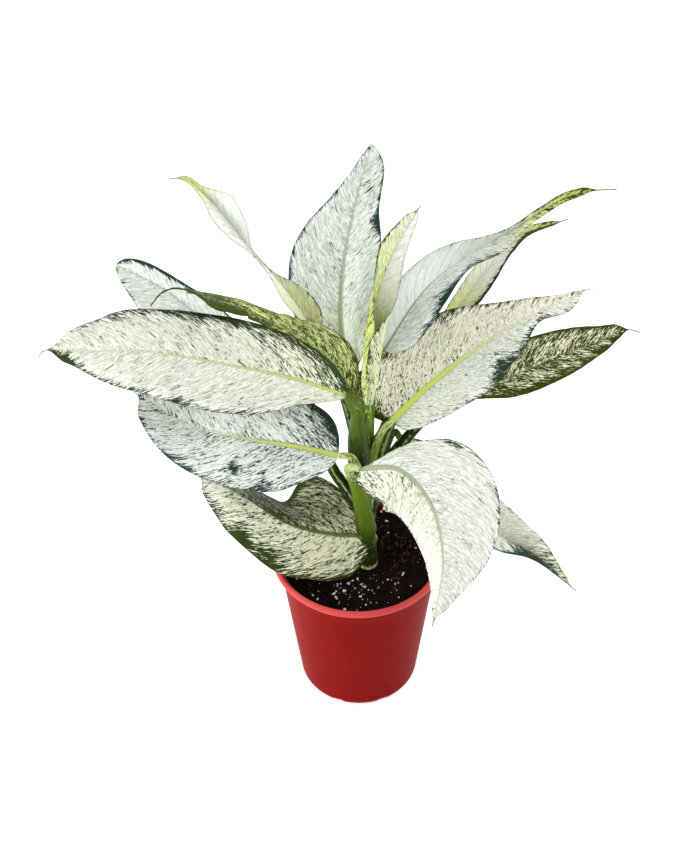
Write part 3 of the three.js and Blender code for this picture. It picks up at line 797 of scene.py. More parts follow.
def finish_material(tree, shader):
    """Joins the shader to the material's output and sets the nodes out in columns."""
    add(tree, "OutputMaterial", {"Surface": shader})
    for place, node in enumerate(tree.nodes):
        node.location = (220 * (place // 6), -260 * (place % 6))


def polypropylene(pot):
    """Injection-moulded polypropylene, dyed red: a soft sheen that a fine moulding grain
    breaks up, cloudy dye, flow lines up the wall, and a lip painted a paler red as a highlight."""
    made, tree = new_material("red_polypropylene")
    place = add(tree, "TexCoord").outputs["Object"]
    # Cloudy dye, a few centimetres across.
    cloud = add(tree, "TexNoise", {"Vector": place, "Scale": 38, "Detail": 2})
    cloud = add(
        tree, "MapRange", {"Value": cloud, "From Min": 0.3, "From Max": 0.7, "To Max": 0.55}
    )
    deep = (pot.red[0] * 0.72, pot.red[1] * 0.62, pot.red[2] * 0.6, 1)
    colour = add(tree, "Mix", {"Factor": cloud, 6: opaque(pot.red), 7: deep}, **TINTED)
    # The lip is painted a paler red as a highlight, from half a millimetre under it.
    lip_foot = pot.height - pot.lip_height
    lip_highlight = add(
        tree, "MapRange",
        {"Value": add(tree, "SeparateXYZ", {0: place}).outputs["Z"],
         "From Min": lip_foot - 0.5 * MM, "From Max": lip_foot + 1.5 * MM, "To Max": 0.7},
        **SOFT,
    )
    colour = add(
        tree, "Mix", {"Factor": lip_highlight, 6: colour, 7: opaque(linear("#DE5A58"))}, **TINTED
    )
    # Grain of about 0.7 mm: the real one is finer and would not show.
    grain = add(tree, "TexNoise", {"Vector": place, "Scale": 1400, "Detail": 2})
    rough = add(
        tree, "MapRange",
        {"Value": grain, "From Min": 0.3, "From Max": 0.7, "To Min": 0.36, "To Max": 0.5},
    )
    # Flow lines that run up the wall, about 4 mm apart.
    flow = add(tree, "VectorMath", {0: place, 1: (260, 260, 9)}, operation="MULTIPLY")
    flow = add(tree, "TexNoise", {"Vector": flow, "Scale": 1})
    height = add(tree, "Math", {0: flow, 1: 0.6, 2: grain}, operation="MULTIPLY_ADD")
    bump = add(tree, "Bump", {"Height": height, "Strength": 0.25, "Distance": 0.2 * MM})
    shader = add(
        tree, "BsdfPrincipled",
        {"Base Color": colour, "Roughness": rough, "IOR": 1.49, "Specular IOR Level": 0.02,
         "Subsurface Weight": 0.05, "Subsurface Scale": 2 * MM, "Normal": bump},
    )
    finish_material(tree, shader)
    return made


def potting_soil(soil):
    """Moist peat and composted bark: almost black and matt, with browner crumbs and the odd
    damp glint."""
    made, tree = new_material("moist_potting_soil")
    place = add(tree, "TexCoord").outputs["Object"]
    # Damper patches, about a centimetre across.
    patch = add(tree, "TexNoise", {"Vector": place, "Scale": 90, "Detail": 2})
    patch = add(tree, "MapRange", {"Value": patch, "From Min": 0.35, "From Max": 0.65})
    black, light = opaque(soil.brown, 0.35), opaque(soil.brown, 3.4)
    colour = add(tree, "Mix", {"Factor": patch, 6: black, 7: opaque(soil.brown)}, **TINTED)
    # Crumbs of about 2 mm.
    crumb = add(tree, "TexNoise", {"Vector": place, "Scale": 420, "Detail": 5})
    dry = add(
        tree, "MapRange", {"Value": crumb, "From Min": 0.56, "From Max": 0.74, "To Max": 0.7}
    )
    colour = add(tree, "Mix", {"Factor": dry, 6: colour, 7: light}, **TINTED)
    bump = add(tree, "Bump", {"Height": crumb, "Strength": 0.9, "Distance": 1.2 * MM})
    shader = add(
        tree, "BsdfPrincipled",
        {"Base Color": colour, "Roughness": 0.85, "Specular IOR Level": 0.08, "Normal": bump},
    )
    finish_material(tree, shader)
    return made


def perlite_rock():
    """Expanded perlite: dull white volcanic glass froth, stained a little by the peat."""
    made, tree = new_material("expanded_perlite")
    place = add(tree, "TexCoord").outputs["Object"]
    # Bubbles of about 0.7 mm.
    froth = add(tree, "TexNoise", {"Vector": place, "Scale": 1500, "Detail": 3})
    white, stained = opaque(linear("#FBF7F4")), opaque(linear("#B5A49C"))
    colour = add(tree, "Mix", {"Factor": froth, 6: white, 7: stained}, **TINTED)
    bump = add(tree, "Bump", {"Height": froth, "Strength": 0.6, "Distance": 0.3 * MM})
    shader = add(
        tree, "BsdfPrincipled", {"Base Color": colour, "Roughness": 0.8, "Normal": bump}
    )
    finish_material(tree, shader)
    return made


def bark_fibre():
    """Composted pine bark, torn into fibres: matt red brown, darker where it is damp."""
    made, tree = new_material("composted_bark")
    place = add(tree, "TexCoord").outputs["Object"]
    # Damp patches 3 mm across.
    damp = add(tree, "TexNoise", {"Vector": place, "Scale": 320, "Detail": 3})
    dry, wet = opaque(linear("#76503F")), opaque(linear("#28140F"))
    colour = add(tree, "Mix", {"Factor": damp, 6: dry, 7: wet}, **TINTED)
    shader = add(
        tree, "BsdfPrincipled",
        {"Base Color": colour, "Roughness": 0.85, "Specular IOR Level": 0.1},
    )
    finish_material(tree, shader)
    return made


def green_stalk(stem):
    """The skin of a living stalk: waxy and smooth, with fine streaks along it, paler and
    flecked with cream towards its blade, and pale at the cane's swollen ring."""
    made, tree = new_material("living_green_stalk")
    place = add(tree, "Attribute", attribute_name="stalk_place").outputs["Vector"]
    tint = add(tree, "Attribute", attribute_name="stalk_tint").outputs["Vector"]
    pale, age_and_shade, _ = add(tree, "SeparateXYZ", {0: tint}).outputs
    # Streaks 0.8 mm wide and 15 mm long.
    streak = add(tree, "VectorMath", {0: place, 1: (1.2, 0.07, 1)}, operation="MULTIPLY")
    streak = add(tree, "TexNoise", {"Vector": streak, "Scale": 1, "Detail": 3})
    # Darker with age and with painted shade, both carried in the stalk tint.
    darkening = add(tree, "Math", {0: streak, 1: 0.8, 2: age_and_shade}, operation="MULTIPLY_ADD")
    darkening = add(tree, "MapRange", {"Value": darkening, "From Min": 0.3, "From Max": 1.1})
    green, deep = opaque(stem.green), opaque(stem.deep_green)
    colour = add(tree, "Mix", {"Factor": darkening, 6: green, 7: deep}, **TINTED)
    # Flecks 1 mm wide and 4 mm long.
    fleck = add(tree, "VectorMath", {0: place, 1: (0.9, 0.28, 1)}, operation="MULTIPLY")
    fleck = add(tree, "TexNoise", {"Vector": fleck, "Scale": 1, "Detail": 3})
    pale = add(tree, "Math", {0: pale, 1: 0.55, 2: fleck}, operation="MULTIPLY_ADD")
    pale = add(
        tree, "MapRange",
        {"Value": pale, "From Min": 0.62, "From Max": 0.82, "To Max": 0.85}, **SOFT,
    )
    cream = opaque(linear("#CBD592"))
    colour = add(tree, "Mix", {"Factor": pale, 6: colour, 7: cream}, **TINTED)
    bump = add(tree, "Bump", {"Height": streak, "Strength": 0.35, "Distance": 0.4 * MM})
    shader = add(
        tree, "BsdfPrincipled",
        {"Base Color": colour, "Roughness": 0.42, "IOR": 1.42, "Specular IOR Level": 0.2,
         "Subsurface Weight": 0.1, "Subsurface Scale": 3 * MM, "Normal": bump},
    )
    finish_material(tree, shader)
    return made


def leaf_blade(blades):
    """A variegated leaf: pale tissue with green flecks that follow the side veins, closer and
    darker towards the margins, a net of small grey veins, and a waxy sheen."""
    made, tree = new_material("variegated_leaf")
    fields = [
        add(tree, "Attribute", attribute_name=name).outputs["Vector"]
        for name in ("vein_place", "leaf_tint", "rib_place", "margin_place")
    ]
    parts = [add(tree, "SeparateXYZ", {0: field}).outputs for field in fields]
    vein_along = parts[0]["Y"]
    cover, lime, tone = parts[1]
    from_rib, rib_share, rib_hue = parts[2]
    from_margin, grain, _ = parts[3]
    spot = add(tree, "VectorMath", {0: fields[0], 3: grain}, operation="SCALE")
    # Noises, with their scales per millimetre across, along, and from leaf to leaf.
    noises = (
        # Flecks 1.8 mm wide and 4 mm long.
        ((0.25, 0.55, 1), {"Detail": 4, "Roughness": 0.62, "Distortion": 1.1}),
        # Patches of 14 mm in which they crowd.
        ((0.06, 0.09, 1), {"Detail": 2}),
        # The grain of the skin.
        ((0.8, 2.2, 1), {"Detail": 2}),
        # A fainter grey mottle between the flecks.
        ((0.31, 0.83, 1.7), {"Detail": 3, "Distortion": 0.5}),
        # A net of veinlets about 0.6 mm wide, where this noise crosses its middle value.
        ((0.16, 0.5, 1), {"Detail": 3, "Distortion": 0.8}),
    )
    fleck, patch, fine, mottle, net = (
        add(
            tree, "TexNoise",
            {"Vector": add(tree, "VectorMath", {0: spot, 1: scale}, operation="MULTIPLY"),
             "Scale": 1, **inputs},
        )
        for scale, inputs in noises
    )
    # The ground is mottled where some of it is green, but not much.
    some, sparse = (
        add(tree, "MapRange", {"Value": cover, "From Min": low, "From Max": high}, **SOFT)
        for low, high in ((0.05, 0.3), (0.5, 0.3))
    )
    some = add(tree, "Math", {0: some, 1: sparse}, operation="MULTIPLY")
    mottle = add(
        tree, "MapRange",
        {"Value": mottle, "From Min": 0.45, "From Max": 0.58, "To Max": 0.6}, **SOFT,
    )
    mottle = add(tree, "Math", {0: mottle, 1: some}, operation="MULTIPLY")
    # Side veins, at even distances but for a slow wander.
    wander = add(tree, "Math", {0: vein_along, 1: WANDER_TURN}, operation="MULTIPLY")
    wander = add(tree, "Math", {0: wander}, operation="SINE")
    wander = add(tree, "Math", {0: wander, 1: WANDER}, operation="MULTIPLY")
    wander = add(tree, "Math", {0: vein_along, 1: wander}, operation="ADD")
    half_gap = blades.vein_spacing / MM / 2
    from_vein = add(tree, "Math", {0: wander, 1: half_gap}, operation="PINGPONG")
    side_vein = add(
        tree, "MapRange",
        {"Value": from_vein, "From Min": 0.9, "From Max": 0.1, "To Max": 0.38}, **SOFT,
    )
    veinlet = add(tree, "Math", {0: net, 1: 0.5}, operation="SUBTRACT")
    veinlet = add(tree, "Math", {0: veinlet}, operation="ABSOLUTE")
    veinlet = add(
        tree, "MapRange",
        {"Value": veinlet, "From Min": 0.022, "From Max": 0.006, "To Max": 0.55}, **SOFT,
    )
    marks = add(tree, "Math", {0: veinlet, 1: side_vein}, operation="MAXIMUM")
    marks = add(tree, "Math", {0: marks, 1: mottle}, operation="MAXIMUM")
    # How deep in the green a place lies: more of it is green in a crowded patch, and where
    # the leaf's cover is high.
    depth = add(tree, "Math", {0: cover, 1: 0.5}, operation="MULTIPLY")
    depth = add(tree, "Math", {0: patch, 1: 0.24, 2: depth}, operation="MULTIPLY_ADD")
    depth = add(tree, "Math", {0: fleck, 1: depth}, operation="ADD")
    flecked, deep = (
        add(tree, "MapRange", {"Value": depth, "From Min": low, "From Max": high}, **SOFT)
        for low, high in ((0.86, 0.91), (0.87, 0.99))
    )
    # The tissue round a fleck is already tinted.
    tinged = add(
        tree, "MapRange",
        {"Value": depth, "From Min": 0.76, "From Max": 0.87, "To Max": 0.4}, **SOFT,
    )
    tinged = add(tree, "Math", {0: tinged, 1: sparse}, operation="MULTIPLY")
    # Cool and warm kinds of the ground, of its tinge and of the green.
    ground, tinge, green = (
        add(tree, "Mix", {"Factor": tone, 6: opaque(cool), 7: opaque(warm)}, **TINTED)
        for cool, warm in (
            (blades.cool_white, blades.warm_cream),
            (linear("#B4C2BC"), linear("#BCC488")),
            (blades.teal, blades.olive),
        )
    )
    yellow, grey = opaque(blades.lime), opaque(blades.grey_vein)
    young = add(tree, "Math", {0: lime, 1: 0.04}, operation="MULTIPLY")
    young = add(tree, "Mix", {"Factor": young, 6: green, 7: yellow}, **TINTED)
    soft = add(tree, "Math", {0: sparse, 1: -0.5, 2: 1}, operation="MULTIPLY_ADD")
    soft = add(tree, "Mix", {"Factor": soft, 6: grey, 7: young}, **TINTED)
    green = add(tree, "Mix", {"Factor": deep, 6: soft, 7: young}, **TINTED)
    # The midrib, from olive through grey to lime, with painted shade as a darker line in the
    # groove beside it, and a darker line along the very edge of the blade.
    bright, dull = (
        add(tree, "MapRange", {"Value": rib_hue, "From Min": 0, "From Max": end}, **SOFT)
        for end in (1, -1)
    )
    rib_colour = add(tree, "Mix", {"Factor": bright, 6: grey, 7: yellow}, **TINTED)
    rib_colour = add(
        tree, "Mix", {"Factor": dull, 6: rib_colour, 7: opaque(linear("#5A5F22"))}, **TINTED
    )
    rib = add(
        tree, "MapRange", {"Value": from_rib, "From Min": 0.35, "From Max": -0.35}, **SOFT
    )
    rib = add(tree, "Math", {0: rib, 1: rib_share}, operation="MULTIPLY")
    # Painted shade: a darker line in the groove beside the midrib.
    groove_shade = add(tree, "Math", {0: from_rib}, operation="ABSOLUTE")
    groove_shade = add(
        tree, "MapRange",
        {"Value": groove_shade, "From Min": 0.8, "From Max": 0.1, "To Max": 0.4}, **SOFT,
    )
    groove_shade = add(tree, "Math", {0: groove_shade, 1: rib_share}, operation="MULTIPLY")
    edge = add(
        tree, "MapRange",
        {"Value": from_margin, "From Min": 0.9, "From Max": 0.2, "To Max": 0.5}, **SOFT,
    )
    # Each colour covers the ones before it as far as its share goes.
    colour = ground
    for share, over in (
        (lime, yellow), (marks, grey), (tinged, tinge), (flecked, green),
        (rib, rib_colour), (groove_shade, green), (edge, green),
    ):
        colour = add(tree, "Mix", {"Factor": share, 6: colour, 7: over}, **TINTED)
    height = add(tree, "Math", {0: fine, 1: fleck}, operation="ADD")
    height = add(tree, "Math", {0: side_vein, 1: -1.2, 2: height}, operation="MULTIPLY_ADD")
    bump = add(tree, "Bump", {"Height": height, "Strength": 0.35, "Distance": 0.4 * MM})
    rough = add(
        tree, "MapRange",
        {"Value": fine, "From Min": 0.3, "From Max": 0.7, "To Min": 0.4, "To Max": 0.52},
    )
    shader = add(
        tree, "BsdfPrincipled",
        {"Base Color": colour, "Roughness": rough, "IOR": 1.42, "Specular IOR Level": 0.06,
         "Subsurface Weight": 0.1, "Subsurface Scale": 1.5 * MM, "Normal": bump},
    )
    finish_material(tree, shader)
    return made


def opal_sheet():
    """Opal acrylic sheet, lit faintly from below: even, matt and almost white."""
    made, tree = new_material("opal_acrylic")
    shader = add(
        tree, "BsdfPrincipled",
        {"Base Color": (0.9, 0.9, 0.9, 1), "Roughness": 0.9, "Specular IOR Level": 0.1,
         "Emission Color": (1, 1, 1, 1), "Emission Strength": 0.42},
    )
    finish_material(tree, shader)
    return made


# ---- the pieces --------------------------------------------------------------------------


class PLANT_OT_pot(Operator):
    """The nursery pot: cone wall, rolled lip, notched foot, floor with drain holes"""

    bl_idname = "dieffenbachia.pot"
    bl_label = "Nursery Pot"

    def execute(self, context):
        pot = context.scene.dieffenbachia_pot
        height, lip, wall = pot.height / MM, pot.lip_height / MM, pot.wall / MM
        lip_radius, top, foot = pot.lip_radius / MM, pot.top_radius / MM, pot.foot_radius / MM
        low, ring_inside = height - lip, FOOT_RING - FOOT_RING_WIDTH
        # A quarter of an ellipse at the lower corner, and half of one round the lip.
        turn = np.linspace(0, 1, 9) * np.pi
        across = FOOT_RING + (foot - FOOT_RING) * np.sin(turn / 2)
        foot_turn = np.stack([across, FOOT_CORNER * (1 - np.cos(turn / 2))], axis=1)
        across = lip_radius - LIP_BULGE * (1 - np.sin(turn))
        lip_turn = np.stack([across, low + lip / 2 * (1 - np.cos(turn))], axis=1)
        step = low - BAND_HEIGHT
        step_radius = foot + (top - foot) * (step - FOOT_CORNER) / (low - FOOT_CORNER)
        underneath = [
            (POLE, 0), (GATE_RADIUS, 0), (GATE_RADIUS, FOOT_RING_HEIGHT),
            (ring_inside, FOOT_RING_HEIGHT), (ring_inside, 0),
        ]
        band = [
            (step_radius, step), (step_radius + BAND_DEPTH, step + BAND_SLOPE),
            (top + BAND_DEPTH, low),
        ]
        mouth = lip_radius - LIP_WIDTH
        inside = [
            (mouth, height), (mouth - LIP_CHAMFER, height - LIP_CHAMFER), (top - wall, low),
            (foot - wall, FOOT_CORNER), (foot - 2 * wall, FLOOR), (FLOOR_RING, FLOOR),
            (POLE, FLOOR),
        ]
        profile = np.vstack(
            [
                rounded([*underneath, *foot_turn[:2]], FOOT_EDGE)[:-1],
                foot_turn[1:],
                rounded([foot_turn[-1], *band, lip_turn[1]], EDGE)[1:-1],
                lip_turn[1:-1],
                rounded([*lip_turn[-2:], *inside], EDGE)[1:],
            ]
        )
        rings = turned(profile, POT_SIDES)
        # Notches: where the foot's ring is cut, its lower points are lifted to their height.
        turn = np.arange(POT_SIDES) / POT_SIDES * NOTCHES
        beside = np.abs(turn - np.floor(turn) - 0.5) / NOTCHES * 2 * np.pi * FOOT_RING
        half, soft_inside, soft_outside = NOTCH_WIDTH / 2, 0.6, 0.2
        lift = NOTCH_HEIGHT * (1 - smooth(half - soft_inside, half + soft_outside, beside))
        is_ring = (profile[:, 0] > ring_inside - 1)[:, None]
        is_foot = is_ring & (rings[..., 2] < NOTCH_HEIGHT + 0.1)
        rings[..., 2] = np.where(is_foot, np.maximum(rings[..., 2], lift), rings[..., 2])
        made = piece(
            "pot_shell", rings.reshape(-1, 3), lofted(rings.shape[:2]),
            polypropylene(pot), sharp=40,
        )
        self.drill(made)
        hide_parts("pot")
        return {"FINISHED"}

    def drill(self, made):
        """Cuts the round drain holes through the floor."""
        sides = 48
        turn = angles(sides)
        pins, faces = [], []
        for number, place in enumerate(angles(HOLES)):
            x = HOLES_OUT * np.cos(place) + HOLE_RADIUS * np.cos(turn)
            y = HOLES_OUT * np.sin(place) + HOLE_RADIUS * np.sin(turn)
            ends = [np.stack([x, y, 0 * x + z], axis=1) for z in (1, FLOOR + 2)]
            pins += ends
            faces += lofted((2, sides), first=2 * sides * number)
        mesh = bpy.data.meshes.new("pins")
        mesh.from_pydata((np.vstack(pins) * MM).tolist(), [], faces)
        pins = bpy.data.objects.new("pins", mesh)
        bpy.context.scene.collection.objects.link(pins)
        cut = made.modifiers.new("drain holes", "BOOLEAN")
        cut.operation, cut.object, cut.solver = "DIFFERENCE", pins, "EXACT"
        bpy.context.view_layer.update()
        result = bpy.data.meshes.new_from_object(
            made.evaluated_get(bpy.context.evaluated_depsgraph_get())
        )
        made.modifiers.clear()
        made.data = result
        bpy.data.objects.remove(pins)


def soil_height(x, y, soil):
    """A low mound round the stem, crossing waves, and lumps of three sizes on them."""
    away = np.hypot(x - CANE_FOOT[0], y - CANE_FOOT[1])
    mound = MOUND_HEIGHT * bell(away, MOUND_WIDTH)
    waves = np.sin(x * 0.31 + 1.2 * np.sin(y * 0.23)) * np.cos(y * 0.37 - x * 0.11)
    relief = 0.6 * waves
    for seed, (part, cell) in enumerate(SOIL_LUMPS, start=1):
        relief = relief + part * lattice_noise(x, y, cell, seed)
    return soil.level / MM + mound + soil.relief / MM * relief


def lumps(centres, sizes, seed, slender=1, lying=1):
    """Rough lumps, one per centre: the 26 points of a cube cut in 24 squares, drawn onto a
    ball, stretched along three axes, roughened point by point, and turned. Slender ones are
    longer along one axis, and lying ones are pressed flat after the turn."""
    steps = np.linspace(-1, 1, 3)
    cube = np.stack(np.meshgrid(steps, steps, steps, indexing="ij"), axis=-1).reshape(-1, 3)
    index = np.full(27, -1)
    shell = np.abs(cube).max(axis=1) > 0.5
    index[shell] = np.arange(26)
    faces = []
    for axis in range(3):
        for side in (0, 2):
            for i in range(2):
                for j in range(2):
                    corners = []
                    for a, b in ((i, j), (i + 1, j), (i + 1, j + 1), (i, j + 1)):
                        at = [0, 0, 0]
                        at[axis], at[(axis + 1) % 3], at[(axis + 2) % 3] = side, a, b
                        corners.append(index[at[0] * 9 + at[1] * 3 + at[2]])
                    faces.append(corners if side == 2 else corners[::-1])
    faces = np.array(faces)
    draw = np.random.default_rng(seed)
    count = len(centres)
    ball = unit(cube[shell])[None] * draw.uniform(0.62, 1.25, (count, 26, 1))
    ball = ball * draw.uniform(0.6, 1.15, (count, 1, 3)) * sizes[:, None, None]
    ball = ball * (slender, 1, 1)
    turns = np.linalg.qr(draw.normal(size=(count, 3, 3)))[0]
    turns = turns * np.sign(np.linalg.det(turns))[:, None, None]
    points = np.einsum("nij,nkj->nki", turns, ball) * (1, 1, lying) + centres[:, None]
    faces = faces[None] + 26 * np.arange(count)[:, None, None]
    return points.reshape(-1, 3), faces.reshape(-1, 4).tolist()


class PLANT_OT_soil(Operator):
    """The potting soil with its crumbs, bark shreds and white perlite grains"""

    bl_idname = "dieffenbachia.soil"
    bl_label = "Potting Soil"

    def execute(self, context):
        pot, soil = context.scene.dieffenbachia_pot, context.scene.dieffenbachia_soil
        finish = potting_soil(soil)
        edge, low = soil.level / MM - SOIL_EDGE, (pot.height - pot.lip_height) / MM
        top, foot, wall = pot.top_radius / MM, pot.foot_radius / MM, pot.wall / MM
        inner = top + (foot - top) * (low - edge) / (low - FOOT_CORNER) - wall - SOIL_GAP
        corner = foot - wall - CORNER_GAP
        sides = [
            (POLE, SOIL_BOTTOM), (corner - wall, SOIL_BOTTOM), (corner, FOOT_CORNER),
            (inner, edge),
        ]
        radii = np.linspace(inner - 1.4, 0.6, SOIL_RINGS)
        profile = np.vstack([sides, np.stack([radii, 0 * radii], axis=1)])
        rings = turned(profile, SOIL_SIDES)
        surface = rings[len(sides) :]
        surface[..., 2] = soil_height(surface[..., 0], surface[..., 1], soil)
        made = piece(
            "soil_bed", rings.reshape(-1, 3), lofted(rings.shape[:2]), finish
        )
        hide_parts("soil")
        # Random places and sizes, in millimetres. The perlite gathers in front of the cane,
        # and the bark on its right.
        draw = np.random.default_rng(11)
        places = self.scatter(draw, soil.crumbs, inner - 3)
        sizes = draw.gamma(3, 0.26, soil.crumbs).clip(0.35, 2.2)
        self.strew("soil_crumbs", finish, places, sizes, 0.15, 12)
        places = self.scatter(draw, soil.perlite, inner - 4, 0.5, (2, -38), (17, 12))
        sizes = draw.gamma(2.5, 0.24, soil.perlite).clip(0.35, 1.5)
        self.strew("soil_perlite", perlite_rock(), places, sizes, 0.25, 13)
        places = self.scatter(draw, soil.shreds, inner - 5, 0.6, (36, 4), (13, 16))
        sizes = draw.uniform(0.3, 0.65, soil.shreds)
        self.strew("soil_bark_shreds", bark_fibre(), places, sizes, 1, 14, slender=6, lying=0.3)
        return {"FINISHED"}

    def strew(self, name, finish, places, sizes, raised, seed, **form):
        """A piece made of lumps at places on the soil, raised by a share of their sizes."""
        x, y = places
        height = soil_height(x, y, bpy.context.scene.dieffenbachia_soil)
        centres = np.stack([x, y, height + raised * sizes], axis=1)
        points, faces = lumps(centres, sizes, seed, **form)
        piece(name, points, faces, finish)

    def scatter(self, draw, count, reach, gathered=0, middle=(0, 0), spread=(0, 0)):
        """Places inside a circle and clear of the cane, a share of them gathered round a
        middle as a bell curve is, wide by the spread."""
        middle_of_cane = (CANE_FOOT[0], CANE_FOOT[1] + 5)
        x, y = [], []
        while len(x) < count:
            if draw.random() < gathered:
                a, b = draw.normal(middle[0], spread[0]), draw.normal(middle[1], spread[1])
            else:
                radius, turn = reach * np.sqrt(draw.random()), 2 * np.pi * draw.random()
                a, b = radius * np.cos(turn), radius * np.sin(turn)
            clear = np.hypot(a - middle_of_cane[0], b - middle_of_cane[1]) > CANE_CLEARANCE
            if clear and np.hypot(a, b) < reach:
                x.append(a)
                y.append(b)
        return np.array(x), np.array(y)


def on_cane(height):
    """The point of the cane's axis at a height, on the straight line from foot to top."""
    foot, top = np.array(CANE_FOOT, float), np.array(CANE_TOP, float)
    return foot + (top - foot) * (height - foot[2]) / (top[2] - foot[2])


def stalk_course(leaf):
    """The stalk's five points: its foot on the cane's axis, two points that swing away from
    it, one short of the blade, and the end at the blade."""
    base, then = np.array(leaf["rib"][0], float), np.array(leaf["rib"][1], float)
    ahead = unit(then - base)
    end = base - 0.3 * ahead
    before = end - leaf["lead"] * ahead
    points = [on_cane(leaf["foot"])]
    for share, lean in leaf["swing"]:
        point = on_cane(leaf["foot"] + (before[2] - leaf["foot"]) * share)
        point[:2] += (before[:2] - point[:2]) * lean
        points.append(point)
    return np.array([*points, before, end])


class PLANT_OT_stem(Operator):
    """The cane with its swollen ring and leaf scars, and the sheathing leaf stalks"""

    bl_idname = "dieffenbachia.stem"
    bl_label = "Cane and Stalks"

    def execute(self, context):
        stem = context.scene.dieffenbachia_stem
        finish = green_stalk(stem)
        made = self.cane(stem, finish)
        for number, leaf in enumerate(LEAVES):
            self.stalk(leaf, number, finish)
        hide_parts("stem")
        return {"FINISHED"}

    def tube(self, name, rings, finish, place, tint):
        """A piece made of rings, with two fields: each point's place round and along it, and
        how pale it is there and how dark, by age and by painted shade."""
        return piece(
            name, rings.reshape(-1, 3), lofted(rings.shape[:2]), finish,
            {"stalk_place": place.reshape(-1, 3), "stalk_tint": tint.reshape(-1, 3)},
        )

    def cane(self, stem, finish):
        """A round cane whose radius shrinks evenly upwards, with a bell curve added for the
        swollen ring and narrow ones for the scars of fallen leaves."""
        foot, top = np.array(CANE_FOOT, float), np.array(CANE_TOP, float)
        share = np.linspace(0, 1, CANE_RINGS)
        height = foot[2] + (top[2] - foot[2]) * share
        radius = stem.cane_radius / MM * (1 - share) + stem.top_radius / MM * share
        swell = (stem.collar_radius - stem.cane_radius) / MM
        radius = radius + swell * bell(height - COLLAR, COLLAR_WIDTH)
        for scar in SCARS:
            radius = radius + SCAR_RIDGE * bell(height - scar, SCAR_WIDTH)
            radius = radius - SCAR_GROOVE * bell(height - scar - SCAR_STEP, SCAR_WIDTH)
        turn = angles(CANE_SIDES)
        centre = foot + (top - foot) * share[:, None]
        height = height[:, None]
        oval = radius[:, None] * (1 + 0.03 * np.cos(2 * turn + height * 0.03))
        like = 0 * oval
        rings = np.stack(
            [
                centre[:, :1] + oval * np.cos(turn),
                centre[:, 1:2] + oval * np.sin(turn),
                centre[:, 2:] + like,
            ],
            axis=-1,
        )
        place = np.stack([7 * turn + like, height + like, like + 90], axis=-1)
        pale = 0.55 * bell(height - PALE_BAND, COLLAR_WIDTH / 2)
        # Painted shade: darker towards the soil.
        age_and_shade = 0.35 + 0.6 * smooth(180, 150, height)
        tint = np.stack([pale + like, age_and_shade + like, like], axis=-1)
        return self.tube("stem_cane", rings, finish, place, tint)

    def stalk(self, leaf, number, finish):
        """A stalk is a tube with a channel along the side that faces the cane, edged by the
        two wings of its sheath, which shrink away towards the blade. It ends at the blade,
        where the midrib's keel goes on."""
        turn = angles(STALK_SIDES) - np.pi
        share = np.linspace(0, 1, STALK_RINGS)
        centre, ahead, length = along_curve(stalk_course(leaf), share)
        radius = (leaf["stalk"] - STALK_TIP_RADIUS) * (1 - share) ** STALK_TAPER
        radius = (STALK_TIP_RADIUS + radius)[:, None]
        base = np.array(leaf["rib"][0], float)
        inward = np.array(leaf.get("opens", np.array(CANE_TOP) - base), float)
        inward[2] = 0
        inward = np.broadcast_to(unit(inward), ahead.shape)
        inward = unit(inward - ahead * (ahead * inward).sum(axis=1, keepdims=True))
        across = np.cross(ahead, inward)
        share = share[:, None]
        # The sheath shrinks away from 0.4 to 0.9 of the way.
        sheath = 1 - smooth(0.4, 0.9, share)
        wings = bell(np.abs(turn) - WING_TURN, 0.2)
        channel = (CHANNEL + SHEATH_CHANNEL * sheath) * bell(turn, 0.5)
        form = 1 - channel + WING_HEIGHT * sheath * wings
        # The foot is half as thick, so that it ends inside the cane.
        grown = smooth(0, 0.16, share)
        reach = radius * form * (0.5 + 0.5 * grown)
        neck = smooth(0.7, 0.9, share) * smooth(1, 0.94, share)
        broad = 1 + sheath * grown * np.where(turn > 0, *leaf["sheath"]) + leaf["wide"] * neck
        broad = (broad * np.sin(turn))[..., None]
        arms = inward[:, None] * np.cos(turn)[:, None] + across[:, None] * broad
        rings = centre[:, None] + arms * reach[..., None]
        like = 0 * form
        place = np.stack([turn * radius, share * length + like, like + 7.3 * number], axis=-1)
        pale = leaf["knuckle"] * smooth(0.55, 1, share) + 0.7 * wings * sheath
        # Darker towards the foot, with painted shade on the left stalks, which the others shade,
        # and on the lower ones near the soil. A leaf's own value brightens the green, and below 0
        # darkens it as painted shade.
        shaded = 0.5 * smooth(0, 45, -base[0]) + 0.6 * smooth(190, 150, rings[..., 2])
        age_and_shade = 0.5 * (1 - smooth(0, 0.8, share)) - 0.2 + shaded - leaf["brightness_and_shade"]
        tint = np.stack([pale, age_and_shade, like], axis=-1)
        self.tube(leaf["name"].replace("leaf", "stalk"), rings, finish, place, tint)


